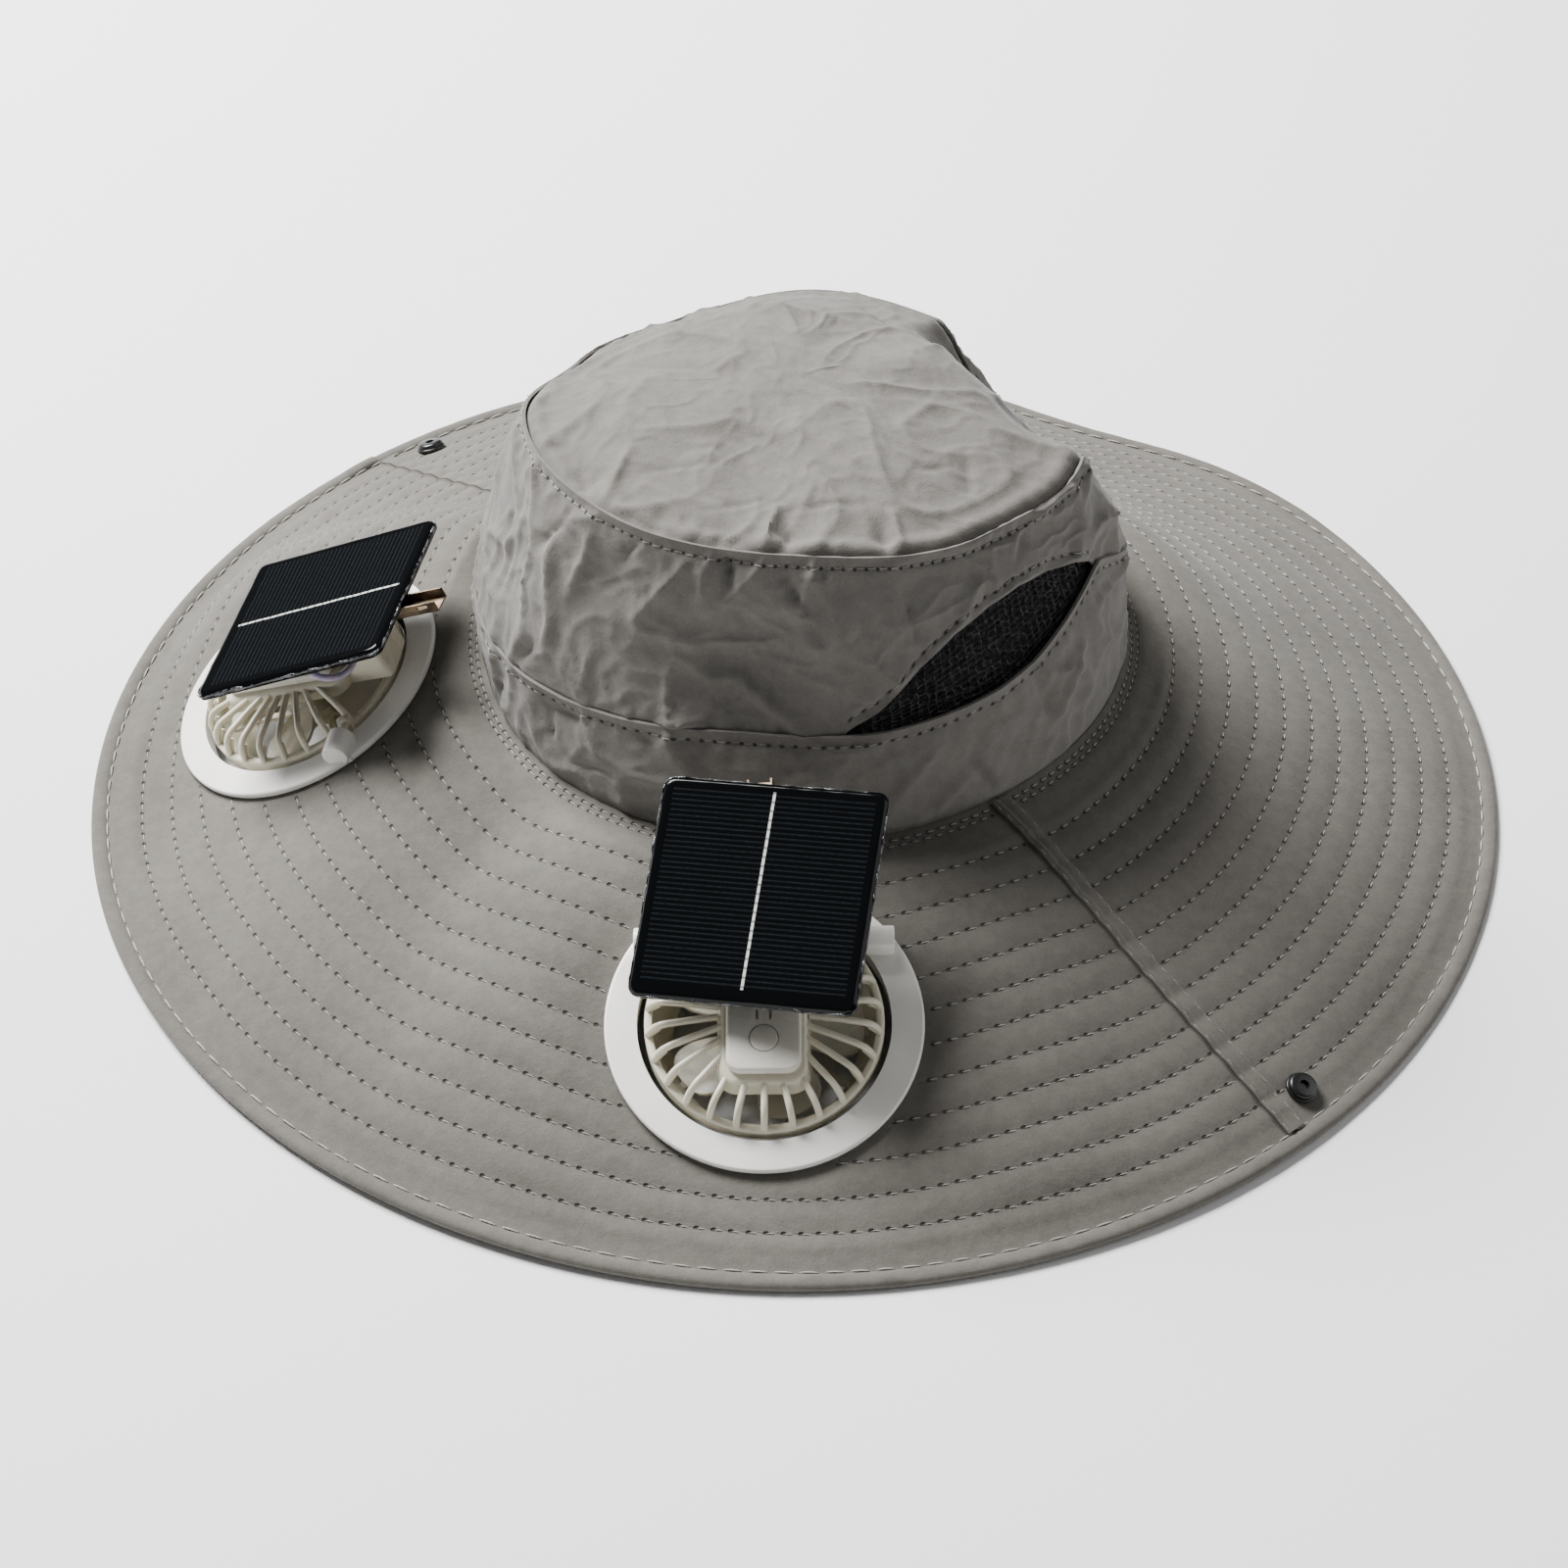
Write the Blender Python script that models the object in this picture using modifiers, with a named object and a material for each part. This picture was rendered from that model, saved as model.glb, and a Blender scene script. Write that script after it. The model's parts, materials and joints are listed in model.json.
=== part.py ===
# Solar fan hat: a wide quilted sun hat with two clip-in fans, each under a hinged solar panel.
# Metres, +Z up. The hat rests on z = 0 and the origin is under the middle of the brim.
# Azimuths are degrees from +X towards +Y. The wearer's face is towards azimuth 222.
import math
from collections import namedtuple

import bmesh
import bpy
from mathutils import Matrix, Vector

# Clearance between pieces that touch, and the distance at which points are merged
GAP = 0.0003
MERGE = 0.00001

# Brim
BRIM_RADIUS = 0.213
BRIM_WALL = 0.0016
BRIM_SEAM_HEIGHT = 0.0445
BRIM_SEAM_RISE = 0.006
EDGE_RISE = 0.003
EDGE_PULL = 0.0105
REST_SHARE = 0.96
SETTLE = 0.0003
BINDING_WIDTH = 0.007
BINDING_THICKNESS = 0.0032
SEAM_STRIP_WIDTH = 0.007
SEAM_STRIP_WALL = 0.001
SNAP_RADIUS = 0.0045
SNAP_HEIGHT = 0.0028
SNAP_FOOT = 0.001

# Crown
HEAD_HALF_LENGTH = 0.0955
HEAD_HALF_WIDTH = 0.0925
CROWN_OFFSET = (0.003, 0.008)
CROWN_HEIGHT = 0.132
CROWN_PUFF = 0.006
CROWN_LEAN = 1.9
CROWN_WALL = 0.0014
TOP_WALL = 0.0012
BAND_SAG = 0.010
TOP_SHIFT = (-0.002, 0.003)
FOLD_DEPTH = 0.010
FACE_AZIMUTH = 223.0
NET_WALL = 0.001
NET_MARGIN = 0.0025

# Columns and rows of the cloth solids
BRIM_STEP = 6.0
BRIM_ROWS = 7
CROWN_COLUMNS = 45
BAND_ROWS = 2
SIDE_ROWS = 4
TOP_ROWS = 5
NET_ROWS = 3

# Steps round the turned pieces of a fan
RING_STEPS = 30
DRUM_STEPS = 26

# Fan ring: a flange on the brim and a lip under it
RING_RADIUS = 0.044
RING_BORE = 0.035
RING_THICKNESS = 0.0022
RING_CHAMFER = 0.0007
COLLAR_WALL = 0.0013
LIP_REACH = 0.003
LIP_THICKNESS = 0.001
BARREL_RADIUS = 0.004
BARREL_LENGTH = 0.0085
TILT_OFFSET = 0.0235
TILT_HEIGHT = 0.0046
TILT_PIN_RADIUS = 0.0011

# Fan cage
CAGE_GAP = 0.002
CAGE_WALL = 0.0018
CAGE_RIM_HEIGHT = 0.0035
CAGE_DEPTH = 0.012
CAGE_TAPER = 0.0055
DOME_HEIGHT = 0.0108
RIB_RADIUS = 0.0011
RIB_PITCH = 13.85
RIB_SPREAD = 145.0
SPOKES = 6
SPOKE_WIDTH = 0.0022
REAR_HUB_RADIUS = 0.006
HUB_WIDTH = 0.026
HUB_REACH = 0.0235
HUB_DEPTH = 0.005
HUB_CORNER = 0.004
NECK_START = 0.018
NECK_WIDTH = 0.015
NECK_FLOOR = 0.0052

# Motor and impeller
MOTOR_RADIUS = 0.009
SHAFT_RADIUS = 0.001
BLADE_COUNT = 5
BLADE_REACH = 0.0275
BLADE_PITCH = 24.0
BLADE_SWEEP = 52.0
BLADE_WALL = 0.001
IMPELLER_HUB_RADIUS = 0.0095
IMPELLER_HUB_HEIGHT = 0.0075
IMPELLER_TOP = 0.0035

# Power box and button
BOX_WIDTH = 0.0205
BOX_REACH = 0.0195
BOX_HEIGHT = 0.0032
BOX_CORNER = 0.003
BUTTON_RADIUS = 0.00385
BUTTON_PLACE = 0.010
BUTTON_HEIGHT = 0.0017
BUTTON_POCKET = 0.0025

# Panel, its bracket and its lead
HINGE_OFFSET = 0.034
HINGE_HEIGHT = 0.0195
HINGE_PIN_RADIUS = 0.0008
KNUCKLE_RADIUS = 0.0021
CHANNEL_RISE = 0.0036
BRACKET_WIDTH = 0.007
BRACKET_TAIL = 0.028
BRACKET_HEAD = 0.012
BRACKET_SHEET = 0.0007
BRACKET_LEAF = 0.0028
PANEL_SIZE = 0.064
PANEL_THICKNESS = 0.0026
PANEL_CORNER = 0.003
WIRE_RADIUS = 0.00125

# Stretches of the brim's seam to the crown that rise: share of BRIM_SEAM_RISE
# Stretches of the edge that rise off the table: share of EDGE_RISE
Rise = namedtuple("Rise", "azimuth half_width share")
SEAM_RISES = [
    Rise(335, 45, 1.0),
    Rise(168, 20, 0.9),
]
EDGE_RISES = [
    Rise(238, 20, 0.5),
    Rise(305, 16, 0.3),
]
# Stretches of the edge that are drawn inwards: share of EDGE_PULL
EDGE_PULLS = [
    Rise(62, 11, 1.0),
]
# Stretches where the band's top sags: share of BAND_SAG
BAND_SAGS = [
    Rise(190, 24, 1.0),
]

# Swells of the brim between crown and edge: place across the brim and height as a share of FOLD_DEPTH
Swell = namedtuple("Swell", "azimuth across half_width half_across share")
BRIM_SWELLS = [
    Swell(28, 0.20, 20, 0.16, 0.75),
    Swell(48, 0.45, 9, 0.30, -0.25),
    Swell(210, 0.60, 12, 0.35, 0.20),
    Swell(335, 0.55, 18, 0.30, -0.20),
    Swell(179, 0.45, 16, 0.30, 0.10),
    Swell(266, 0.43, 16, 0.30, 0.09),
]

# Seams of the two brim halves: azimuth at the crown and at the edge
Seam = namedtuple("Seam", "name at_crown at_edge")
SEAM_RIGHT = Seam("brim_seam_right", 304.6, 311.6)
SEAM_LEFT = Seam("brim_seam_left", 137.0, 131.0)

# Snap studs: azimuth and place across the brim
Snap = namedtuple("Snap", "name azimuth across")
SNAPS = [
    Snap("snap_right", 314.3, 0.893),
    Snap("snap_left", 127.5, 0.890),
]

# Top seam: reach as a share of the head's half sizes, height as a share of CROWN_HEIGHT.
# It drops where the crown has caved in at the back right.
Section = namedtuple("Section", "azimuth reach height")
TOP_SEAM = [
    Section(6, 0.82, 0.800),
    Section(28, 0.78, 0.735),
    Section(43, 0.75, 0.790),
    Section(56, 0.74, 0.920),
    Section(87, 0.80, 0.910),
    Section(120, 0.78, 0.890),
    Section(150, 0.80, 0.910),
    Section(188, 0.84, 1.000),
    Section(225, 0.81, 1.000),
    Section(265, 0.75, 0.985),
    Section(310, 0.79, 0.960),
    Section(346, 0.84, 0.945),
]
# Where the caved part of the top starts, as a share of the way from its middle to its seam,
# and how high the top seam would run there if nothing had caved in
CAVE_START = 0.60
CAVE_LEVEL = 0.945

# Dents (above 0) and ridges (below 0) of the crown wall: level from the brim's seam to the top
# seam, depth as a share of FOLD_DEPTH
Dent = namedtuple("Dent", "azimuth level half_width half_level depth")
WALL_DENTS = [
    Dent(256, 0.60, 13, 0.17, 0.90),
    Dent(281, 0.70, 7, 0.24, -0.15),
    Dent(228, 0.78, 8, 0.18, 0.35),
    Dent(212, 0.64, 6, 0.27, -0.25),
    Dent(196, 0.66, 7, 0.22, 0.30),
    Dent(188, 0.26, 14, 0.16, -0.25),
    Dent(165, 0.66, 9, 0.24, -0.20),
    Dent(120, 0.66, 12, 0.22, 0.35),
    Dent(80, 0.60, 10, 0.22, 0.30),
    Dent(352, 0.60, 8, 0.22, -0.30),
]
# Creases and humps of the top panel: place from its middle to its seam, height share of FOLD_DEPTH
TOP_SWELLS = [
    Swell(300, 0.55, 16, 0.25, 0.18),
    Swell(250, 0.60, 14, 0.25, -0.16),
    Swell(205, 0.55, 15, 0.30, 0.15),
    Swell(110, 0.60, 18, 0.30, 0.22),
    Swell(20, 0.45, 14, 0.14, 0.25),
]

# Cut of the crown wall by its turn either way from the face: where the band ends and where the
# side begins, as shares of CROWN_HEIGHT. Between the two lies a leaf shaped window.
Cut = namedtuple("Cut", "turn band side")
WALL_CUTS = [
    Cut(0, 0.575, 0.575),
    Cut(28, 0.595, 0.595),
    Cut(52, 0.612, 0.612),
    Cut(60, 0.615, 0.665),
    Cut(68, 0.621, 0.742),
    Cut(76, 0.629, 0.793),
    Cut(84, 0.640, 0.822),
    Cut(92, 0.660, 0.832),
    Cut(100, 0.692, 0.826),
    Cut(108, 0.722, 0.798),
    Cut(116, 0.750, 0.750),
    Cut(136, 0.640, 0.640),
    Cut(180, 0.560, 0.560),
]
WINDOW_FIRST = 52
WINDOW_LAST = 116

# Fans: place on the brim, lie of the ring (downhill azimuth and slope), azimuth that the fan's
# crown side points to, and how the panel is glued to its bracket. The panel's offsets are shares
# of PANEL_SIZE from the hinge; its turn, its rise and the roll of the bent bracket are degrees.
Fan = namedtuple("Fan", "name azimuth across downhill slope aim "
                        "panel_back panel_side panel_turn panel_rise panel_roll")
FANS = [
    Fan("front", 266.0, 0.428, 268.0, 21.5, 90.0, 0.100, 0.000, -9.6, 6.0, 11.0),
    Fan("left", 179.0, 0.450, 192.0, 26.0, 348.4, 0.240, -0.050, 4.4, 2.0, 9.5),
]
# The brim is flat under a ring, then eases back to its own form: radii as shares of RING_RADIUS
FLAT_SHARE = 1.40
EASE_SHARE = 1.95
# and it keeps its own form this near to the crown and to the binding, as shares of the way across
JOINT_SHARE = 0.12
HEM_SHARE = 0.14

# Route of the panel's lead from beside the hinge to the panel's underside, in the panel's frame:
# shares of PANEL_SIZE sideways, outwards and down
WIRE_ROUTE = [
    (0.080, -0.035, 0.050),
    (0.125, -0.010, 0.075),
    (0.190, 0.005, 0.110),
    (0.270, 0.015, 0.135),
    (0.345, -0.010, 0.130),
    (0.390, -0.060, 0.095),
    (0.400, -0.110, 0.050),
]

# Colours (linear), roughness and metallic value of each material
Finish = namedtuple("Finish", "colour roughness metallic")
FINISHES = {
    "cloth_brim": Finish((0.235, 0.222, 0.200), 0.85, 0.0),
    "cloth_crown": Finish((0.285, 0.270, 0.245), 0.85, 0.0),
    "black_net": Finish((0.008, 0.008, 0.008), 0.90, 0.0),
    "snap_black": Finish((0.010, 0.010, 0.011), 0.35, 0.0),
    "ring_white": Finish((0.760, 0.740, 0.690), 0.22, 0.0),
    "cage_cream": Finish((0.640, 0.600, 0.480), 0.30, 0.0),
    "blade_milky": Finish((0.560, 0.550, 0.500), 0.20, 0.0),
    "solar_cell": Finish((0.006, 0.007, 0.010), 0.15, 0.0),
    "bracket_brass": Finish((0.400, 0.290, 0.170), 0.35, 1.0),
    "wire_sheath": Finish((0.520, 0.480, 0.640), 0.30, 0.0),
}

SIDEWAYS = Vector((1, 0, 0))
CROWNWARD = Vector((0, 1, 0))
UPWARD = Vector((0, 0, 1))


def angle_between(first, second):
    return (first - second + 180.0) % 360.0 - 180.0


def bell(distance, half_width):
    return math.exp(-0.7 * (distance / half_width) ** 2)


def ease(share):
    share = min(max(share, 0.0), 1.0)
    return share * share * (3.0 - 2.0 * share)


def risen(rows, azimuth):
    return sum(row.share * bell(angle_between(azimuth, row.azimuth), row.half_width) for row in rows)


def swollen(rows, azimuth, across):
    return sum(row.share * bell(angle_between(azimuth, row.azimuth), row.half_width)
               * bell(across - row.across, row.half_across) for row in rows)


def around(rows, azimuth, column):
    # Value of a column between the two rows nearest to an azimuth, eased from one to the next
    for before, after in zip(rows, rows[1:] + rows[:1]):
        span = (after.azimuth - before.azimuth) % 360.0
        on = (azimuth - before.azimuth) % 360.0
        if on <= span:
            share = ease(on / span)
            return getattr(before, column) * (1.0 - share) + getattr(after, column) * share
    return getattr(rows[0], column)


def between(rows, turn, column):
    # Straight run between the rows of an open table
    for before, after in zip(rows, rows[1:]):
        if turn <= after.turn:
            share = max((turn - before.turn) / (after.turn - before.turn), 0.0)
            return getattr(before, column) * (1.0 - share) + getattr(after, column) * share
    return getattr(rows[-1], column)


def head_point(azimuth):
    turn = math.radians(azimuth)
    return Vector((CROWN_OFFSET[0] + HEAD_HALF_LENGTH * math.cos(turn),
                   CROWN_OFFSET[1] + HEAD_HALF_WIDTH * math.sin(turn), 0.0))


def brim_plan(azimuth, across):
    turn = math.radians(azimuth)
    reach = BRIM_RADIUS - EDGE_PULL * risen(EDGE_PULLS, azimuth)
    edge = Vector((reach * math.cos(turn), reach * math.sin(turn), 0.0))
    return head_point(azimuth).lerp(edge, across)


def seam_height(azimuth):
    return BRIM_SEAM_HEIGHT + BRIM_SEAM_RISE * risen(SEAM_RISES, azimuth)


def edge_height(azimuth):
    return EDGE_RISE * risen(EDGE_RISES, azimuth) + (BINDING_THICKNESS + BRIM_WALL) / 2 - SETTLE


def free_height(azimuth, across):
    # A cone that meets the table just inside the binding, which lies flat
    edge = edge_height(azimuth)
    height = edge + (seam_height(azimuth) - edge) * max(1.0 - across / REST_SHARE, 0.0)
    return height + FOLD_DEPTH * swollen(BRIM_SWELLS, azimuth, across)


def fan_frame(fan):
    # Sideways, crownward and upward axes of a fan, with its place on the brim's upper side
    place = brim_plan(fan.azimuth, fan.across)
    place.z = free_height(fan.azimuth, fan.across)
    downhill = math.radians(fan.downhill)
    slope = math.radians(fan.slope)
    aim = math.radians(fan.aim)
    up = Vector((math.sin(slope) * math.cos(downhill), math.sin(slope) * math.sin(downhill), math.cos(slope)))
    crownward = Vector((math.cos(aim), math.sin(aim), 0.0))
    crownward = (crownward - up * crownward.dot(up)).normalized()
    sideways = crownward.cross(up)
    return Matrix((
        (sideways.x, crownward.x, up.x, place.x),
        (sideways.y, crownward.y, up.y, place.y),
        (sideways.z, crownward.z, up.z, place.z),
        (0, 0, 0, 1),
    ))


def brim_point(azimuth, across):
    point = brim_plan(azimuth, across)
    point.z = free_height(azimuth, across)
    for fan in FANS:
        frame = fan_frame(fan)
        up = frame.col[2].to_3d()
        place = frame.col[3].to_3d()
        offset = point - place
        plane_height = place.z - (up.x * offset.x + up.y * offset.y) / up.z
        flat = FLAT_SHARE * RING_RADIUS
        hold = 1.0 - ease((math.hypot(offset.x, offset.y) - flat) / (EASE_SHARE * RING_RADIUS - flat))
        hold *= ease(across / JOINT_SHARE) * ease((binding_start() - across) / HEM_SHARE)
        point.z += (plane_height - point.z) * hold
    return point


def brim_normal(azimuth, across):
    step = 0.01
    along = brim_point(azimuth + 100 * step, across) - brim_point(azimuth - 100 * step, across)
    out = brim_point(azimuth, across + step) - brim_point(azimuth, across - step)
    return out.cross(along).normalized()


def binding_start():
    # Where the cloth ends and the binding begins, as a share of the way across the brim
    return 1.0 - BINDING_WIDTH / (BRIM_RADIUS - HEAD_HALF_LENGTH)


def seam_azimuth(seam, across):
    # A straight line in plan from the crown to the edge
    share = across * BRIM_RADIUS / (HEAD_HALF_LENGTH + (BRIM_RADIUS - HEAD_HALF_LENGTH) * across)
    return seam.at_crown + (seam.at_edge - seam.at_crown) * share


def half_columns(first, second):
    return round(((second.at_edge - first.at_edge) % 360.0) / BRIM_STEP)


def half_azimuth(first, second, turn, across):
    start = seam_azimuth(first, across)
    span = (seam_azimuth(second, across) - start) % 360.0
    return start + span * turn


def brim_start(azimuth):
    # The brim's inner edge stands clear of the band that passes down inside it
    width = (brim_plan(azimuth, 1.0) - brim_plan(azimuth, 0.0)).length
    return (2 * GAP + BRIM_WALL / 2) / width


def top_height(azimuth):
    return CROWN_HEIGHT * around(TOP_SEAM, azimuth, "height")


def wall_level(azimuth, height):
    # 0 at the brim's seam and 1 at the top seam
    bottom = seam_height(azimuth)
    return (height - bottom) / (top_height(azimuth) - bottom)


def cut_height(azimuth, column):
    turn = abs(angle_between(azimuth, FACE_AZIMUTH))
    return CROWN_HEIGHT * between(WALL_CUTS, turn, column) - BAND_SAG * risen(BAND_SAGS, azimuth)


def crown_azimuth(turn):
    # The columns of the crown fall on the tips of both windows
    return FACE_AZIMUTH + WINDOW_FIRST + 360.0 * turn


def top_reach(azimuth):
    reach = around(TOP_SEAM, azimuth, "reach")
    turn = math.radians(azimuth)
    return Vector((CROWN_OFFSET[0] + HEAD_HALF_LENGTH * reach * math.cos(turn),
                   CROWN_OFFSET[1] + HEAD_HALF_WIDTH * reach * math.sin(turn), 0.0))


def wall_point(azimuth, height, out=0.0):
    # A point of the crown wall; out moves it off the wall
    level = max(wall_level(azimuth, height), 0.0)
    plan = head_point(azimuth).lerp(top_reach(azimuth), level ** CROWN_LEAN)
    turn = math.radians(azimuth)
    dent = sum(row.depth * bell(angle_between(azimuth, row.azimuth), row.half_width)
               * bell(level - row.level, row.half_level) for row in WALL_DENTS)
    dent *= ease(4 * level) * ease(4 * (1.0 - level))
    shift = out - FOLD_DEPTH * dent
    return plan + Vector((shift * math.cos(turn), shift * math.sin(turn), height))


def top_point(azimuth, share):
    # Share 0 is the middle of the top panel and 1 its seam
    middle = Vector((CROWN_OFFSET[0] + TOP_SHIFT[0], CROWN_OFFSET[1] + TOP_SHIFT[1], 0.0))
    plan = middle.lerp(top_reach(azimuth), share)
    seam = top_height(azimuth)
    level = max(seam, CROWN_HEIGHT * CAVE_LEVEL)
    caved = (level - seam) * ease((share - CAVE_START) / (1.0 - CAVE_START))
    puffed = (CROWN_HEIGHT + CROWN_PUFF - level) * (1.0 - share * share)
    creased = FOLD_DEPTH * swollen(TOP_SWELLS, azimuth, share) * ease(4 * share) * ease(4 * (1.0 - share))
    plan.z = level + puffed - caved + creased
    return plan


def new_collection(name):
    collection = bpy.data.collections.new(name)
    bpy.context.scene.collection.children.link(collection)
    return collection


def clear_scene():
    for item in list(bpy.data.objects):
        bpy.data.objects.remove(item, do_unlink=True)


def make_material(name, finish):
    material = bpy.data.materials.new(name)
    material.use_nodes = True
    shader = material.node_tree.nodes["Principled BSDF"]
    shader.inputs["Base Color"].default_value = (*finish.colour, 1.0)
    shader.inputs["Roughness"].default_value = finish.roughness
    shader.inputs["Metallic"].default_value = finish.metallic
    return material


def new_object(name, mesh, collection):
    item = bpy.data.objects.new(name, mesh)
    collection.objects.link(item)
    return item


def finished_mesh(item, name):
    # Evaluated mesh of an object with its modifiers, with loose caps merged; the object goes
    bpy.context.view_layer.update()
    depsgraph = bpy.context.evaluated_depsgraph_get()
    mesh = bpy.data.meshes.new_from_object(item.evaluated_get(depsgraph))
    mesh.name = name
    mesh.transform(item.matrix_world)
    form = bmesh.new()
    form.from_mesh(mesh)
    bmesh.ops.remove_doubles(form, verts=form.verts, dist=MERGE)
    bmesh.ops.recalc_face_normals(form, faces=form.faces)
    form.to_mesh(mesh)
    form.free()
    bpy.data.objects.remove(item, do_unlink=True)
    return mesh


def joined(name, meshes):
    form = bmesh.new()
    for mesh in meshes:
        form.from_mesh(mesh)
    mesh = bpy.data.meshes.new(name)
    form.to_mesh(mesh)
    form.free()
    return mesh


def boolean(name, mesh, others, operation):
    # One closed mesh from a mesh and others that join it or cut it
    base = new_object(name, mesh, bench)
    tool = new_object(name + "_tool", joined(name + "_tool", others), bench)
    cut = base.modifiers.new("Boolean", "BOOLEAN")
    cut.operation = operation
    cut.solver = "EXACT"
    cut.use_self = True
    cut.object = tool
    result = finished_mesh(base, name)
    bpy.data.objects.remove(tool, do_unlink=True)
    return merged_flats(result)


def merged_flats(mesh):
    # Faces that lie in one plane become one face
    form = bmesh.new()
    form.from_mesh(mesh)
    bmesh.ops.dissolve_limit(form, angle_limit=math.radians(0.5), verts=form.verts, edges=form.edges)
    bmesh.ops.triangulate(form, faces=[face for face in form.faces if len(face.verts) > 4])
    form.to_mesh(mesh)
    form.free()
    return mesh


def sheet_mesh(name, columns, rows, place, wall):
    # A grid whose points are moved onto a surface; place() takes 0 to 1 along both sides
    form = bmesh.new()
    bmesh.ops.create_grid(form, x_segments=columns, y_segments=rows, size=0.5)
    for point in form.verts:
        point.co = place(point.co.x + 0.5, point.co.y + 0.5)
    bmesh.ops.remove_doubles(form, verts=form.verts, dist=MERGE)
    bmesh.ops.dissolve_degenerate(form, edges=form.edges, dist=MERGE)
    mesh = bpy.data.meshes.new(name)
    form.to_mesh(mesh)
    form.free()
    item = new_object(name, mesh, bench)
    if wall:
        solidify = item.modifiers.new("Wall", "SOLIDIFY")
        solidify.thickness = wall
        solidify.offset = -1
    return finished_mesh(item, name)


def turned_mesh(name, profile, steps):
    # A profile in (radius, height), down its outer side and, if it is off the axis, up its inner side
    mesh = bpy.data.meshes.new(name)
    count = len(profile)
    edges = [(index, index + 1) for index in range(count - 1)]
    if profile[0][0] > 0:
        edges.append((count - 1, 0))
    mesh.from_pydata([(radius, 0.0, height) for radius, height in profile], edges, [])
    item = new_object(name, mesh, bench)
    screw = item.modifiers.new("Turn", "SCREW")
    screw.steps = steps
    screw.render_steps = steps
    screw.use_merge_vertices = True
    screw.merge_threshold = MERGE
    return finished_mesh(item, name)


def tube_mesh(name, points, radius, resolution):
    curve = bpy.data.curves.new(name, "CURVE")
    curve.dimensions = "3D"
    curve.bevel_depth = radius
    curve.bevel_resolution = resolution
    curve.use_fill_caps = True
    spline = curve.splines.new("POLY")
    spline.points.add(len(points) - 1)
    for target, point in zip(spline.points, points):
        target.co = (*point, 1.0)
    item = new_object(name, curve, bench)
    return finished_mesh(item, name)


def box_mesh(name, low, high, corner=0.0, rounds=2):
    # A box between two corners, with its upright edges rounded
    form = bmesh.new()
    bmesh.ops.create_cube(form, size=1.0)
    middle = (Vector(low) + Vector(high)) / 2
    size = Vector(high) - Vector(low)
    for point in form.verts:
        point.co = middle + Vector((point.co.x * size.x, point.co.y * size.y, point.co.z * size.z))
    if corner:
        edges = [edge for edge in form.edges if abs((edge.verts[0].co - edge.verts[1].co).z) > MERGE]
        bmesh.ops.bevel(form, geom=edges, offset=corner, segments=rounds, profile=0.5, affect="EDGES")
    mesh = bpy.data.meshes.new(name)
    form.to_mesh(mesh)
    form.free()
    return mesh


def rod_mesh(name, radius, start, end, sides):
    form = bmesh.new()
    bmesh.ops.create_cone(form, cap_ends=True, segments=sides, radius1=radius, radius2=radius,
                          depth=(end - start).length)
    along = (end - start).to_track_quat("Z", "Y").to_matrix().to_4x4()
    bmesh.ops.transform(form, matrix=Matrix.Translation((start + end) / 2) @ along, verts=form.verts)
    mesh = bpy.data.meshes.new(name)
    form.to_mesh(mesh)
    form.free()
    return mesh


def turned_copy(mesh, degrees):
    copy = mesh.copy()
    copy.transform(Matrix.Rotation(math.radians(degrees), 4, "Z"))
    return copy


def smooth(mesh, degrees):
    mesh.shade_smooth()
    mesh.set_sharp_from_angle(angle=math.radians(degrees))


def add_part(name, mesh, material, parent=None, origin=None, angle=40):
    # A finished sub-part; its origin is moved to a point of its parent's frame
    smooth(mesh, angle)
    item = new_object(name, mesh, model)
    item.data.materials.clear()
    item.data.materials.append(materials[material])
    if parent:
        item.parent = parent
    if origin:
        item.location = origin
    return item


def add_empty(name, matrix, parent=None):
    empty = bpy.data.objects.new(name, None)
    model.objects.link(empty)
    empty.empty_display_size = 0.01
    empty.parent = parent
    empty.matrix_local = matrix
    return empty


def moved(mesh, offset):
    mesh.transform(Matrix.Translation(-Vector(offset)))
    return mesh


# Cloth pieces

def brim_half(name, first, second):
    columns = half_columns(first, second)
    side_gap = GAP / 2 / BRIM_RADIUS

    def place(turn, inward):
        across = binding_start() * (1.0 - inward)
        turn = side_gap + turn * (1.0 - 2 * side_gap)
        azimuth = half_azimuth(first, second, turn, across)
        across += inward * brim_start(azimuth)
        return brim_point(azimuth, across)

    mesh = sheet_mesh(name, columns, BRIM_ROWS, place, BRIM_WALL)
    holes = [hole_mesh(fan) for fan in FANS if fan_on_half(fan, first, second)]
    if holes:
        mesh = boolean(name, mesh, holes, "DIFFERENCE")
    return add_part(name, mesh, "cloth_brim")


def fan_on_half(fan, first, second):
    span = (second.at_edge - first.at_edge) % 360.0
    return (fan.azimuth - first.at_edge) % 360.0 < span


def hole_mesh(fan):
    radius = RING_BORE + COLLAR_WALL + GAP
    reach = Vector((0, 0, RING_RADIUS / 2))
    mesh = rod_mesh("hole", radius, -reach, reach, RING_STEPS)
    mesh.transform(fan_frame(fan))
    return mesh


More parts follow.
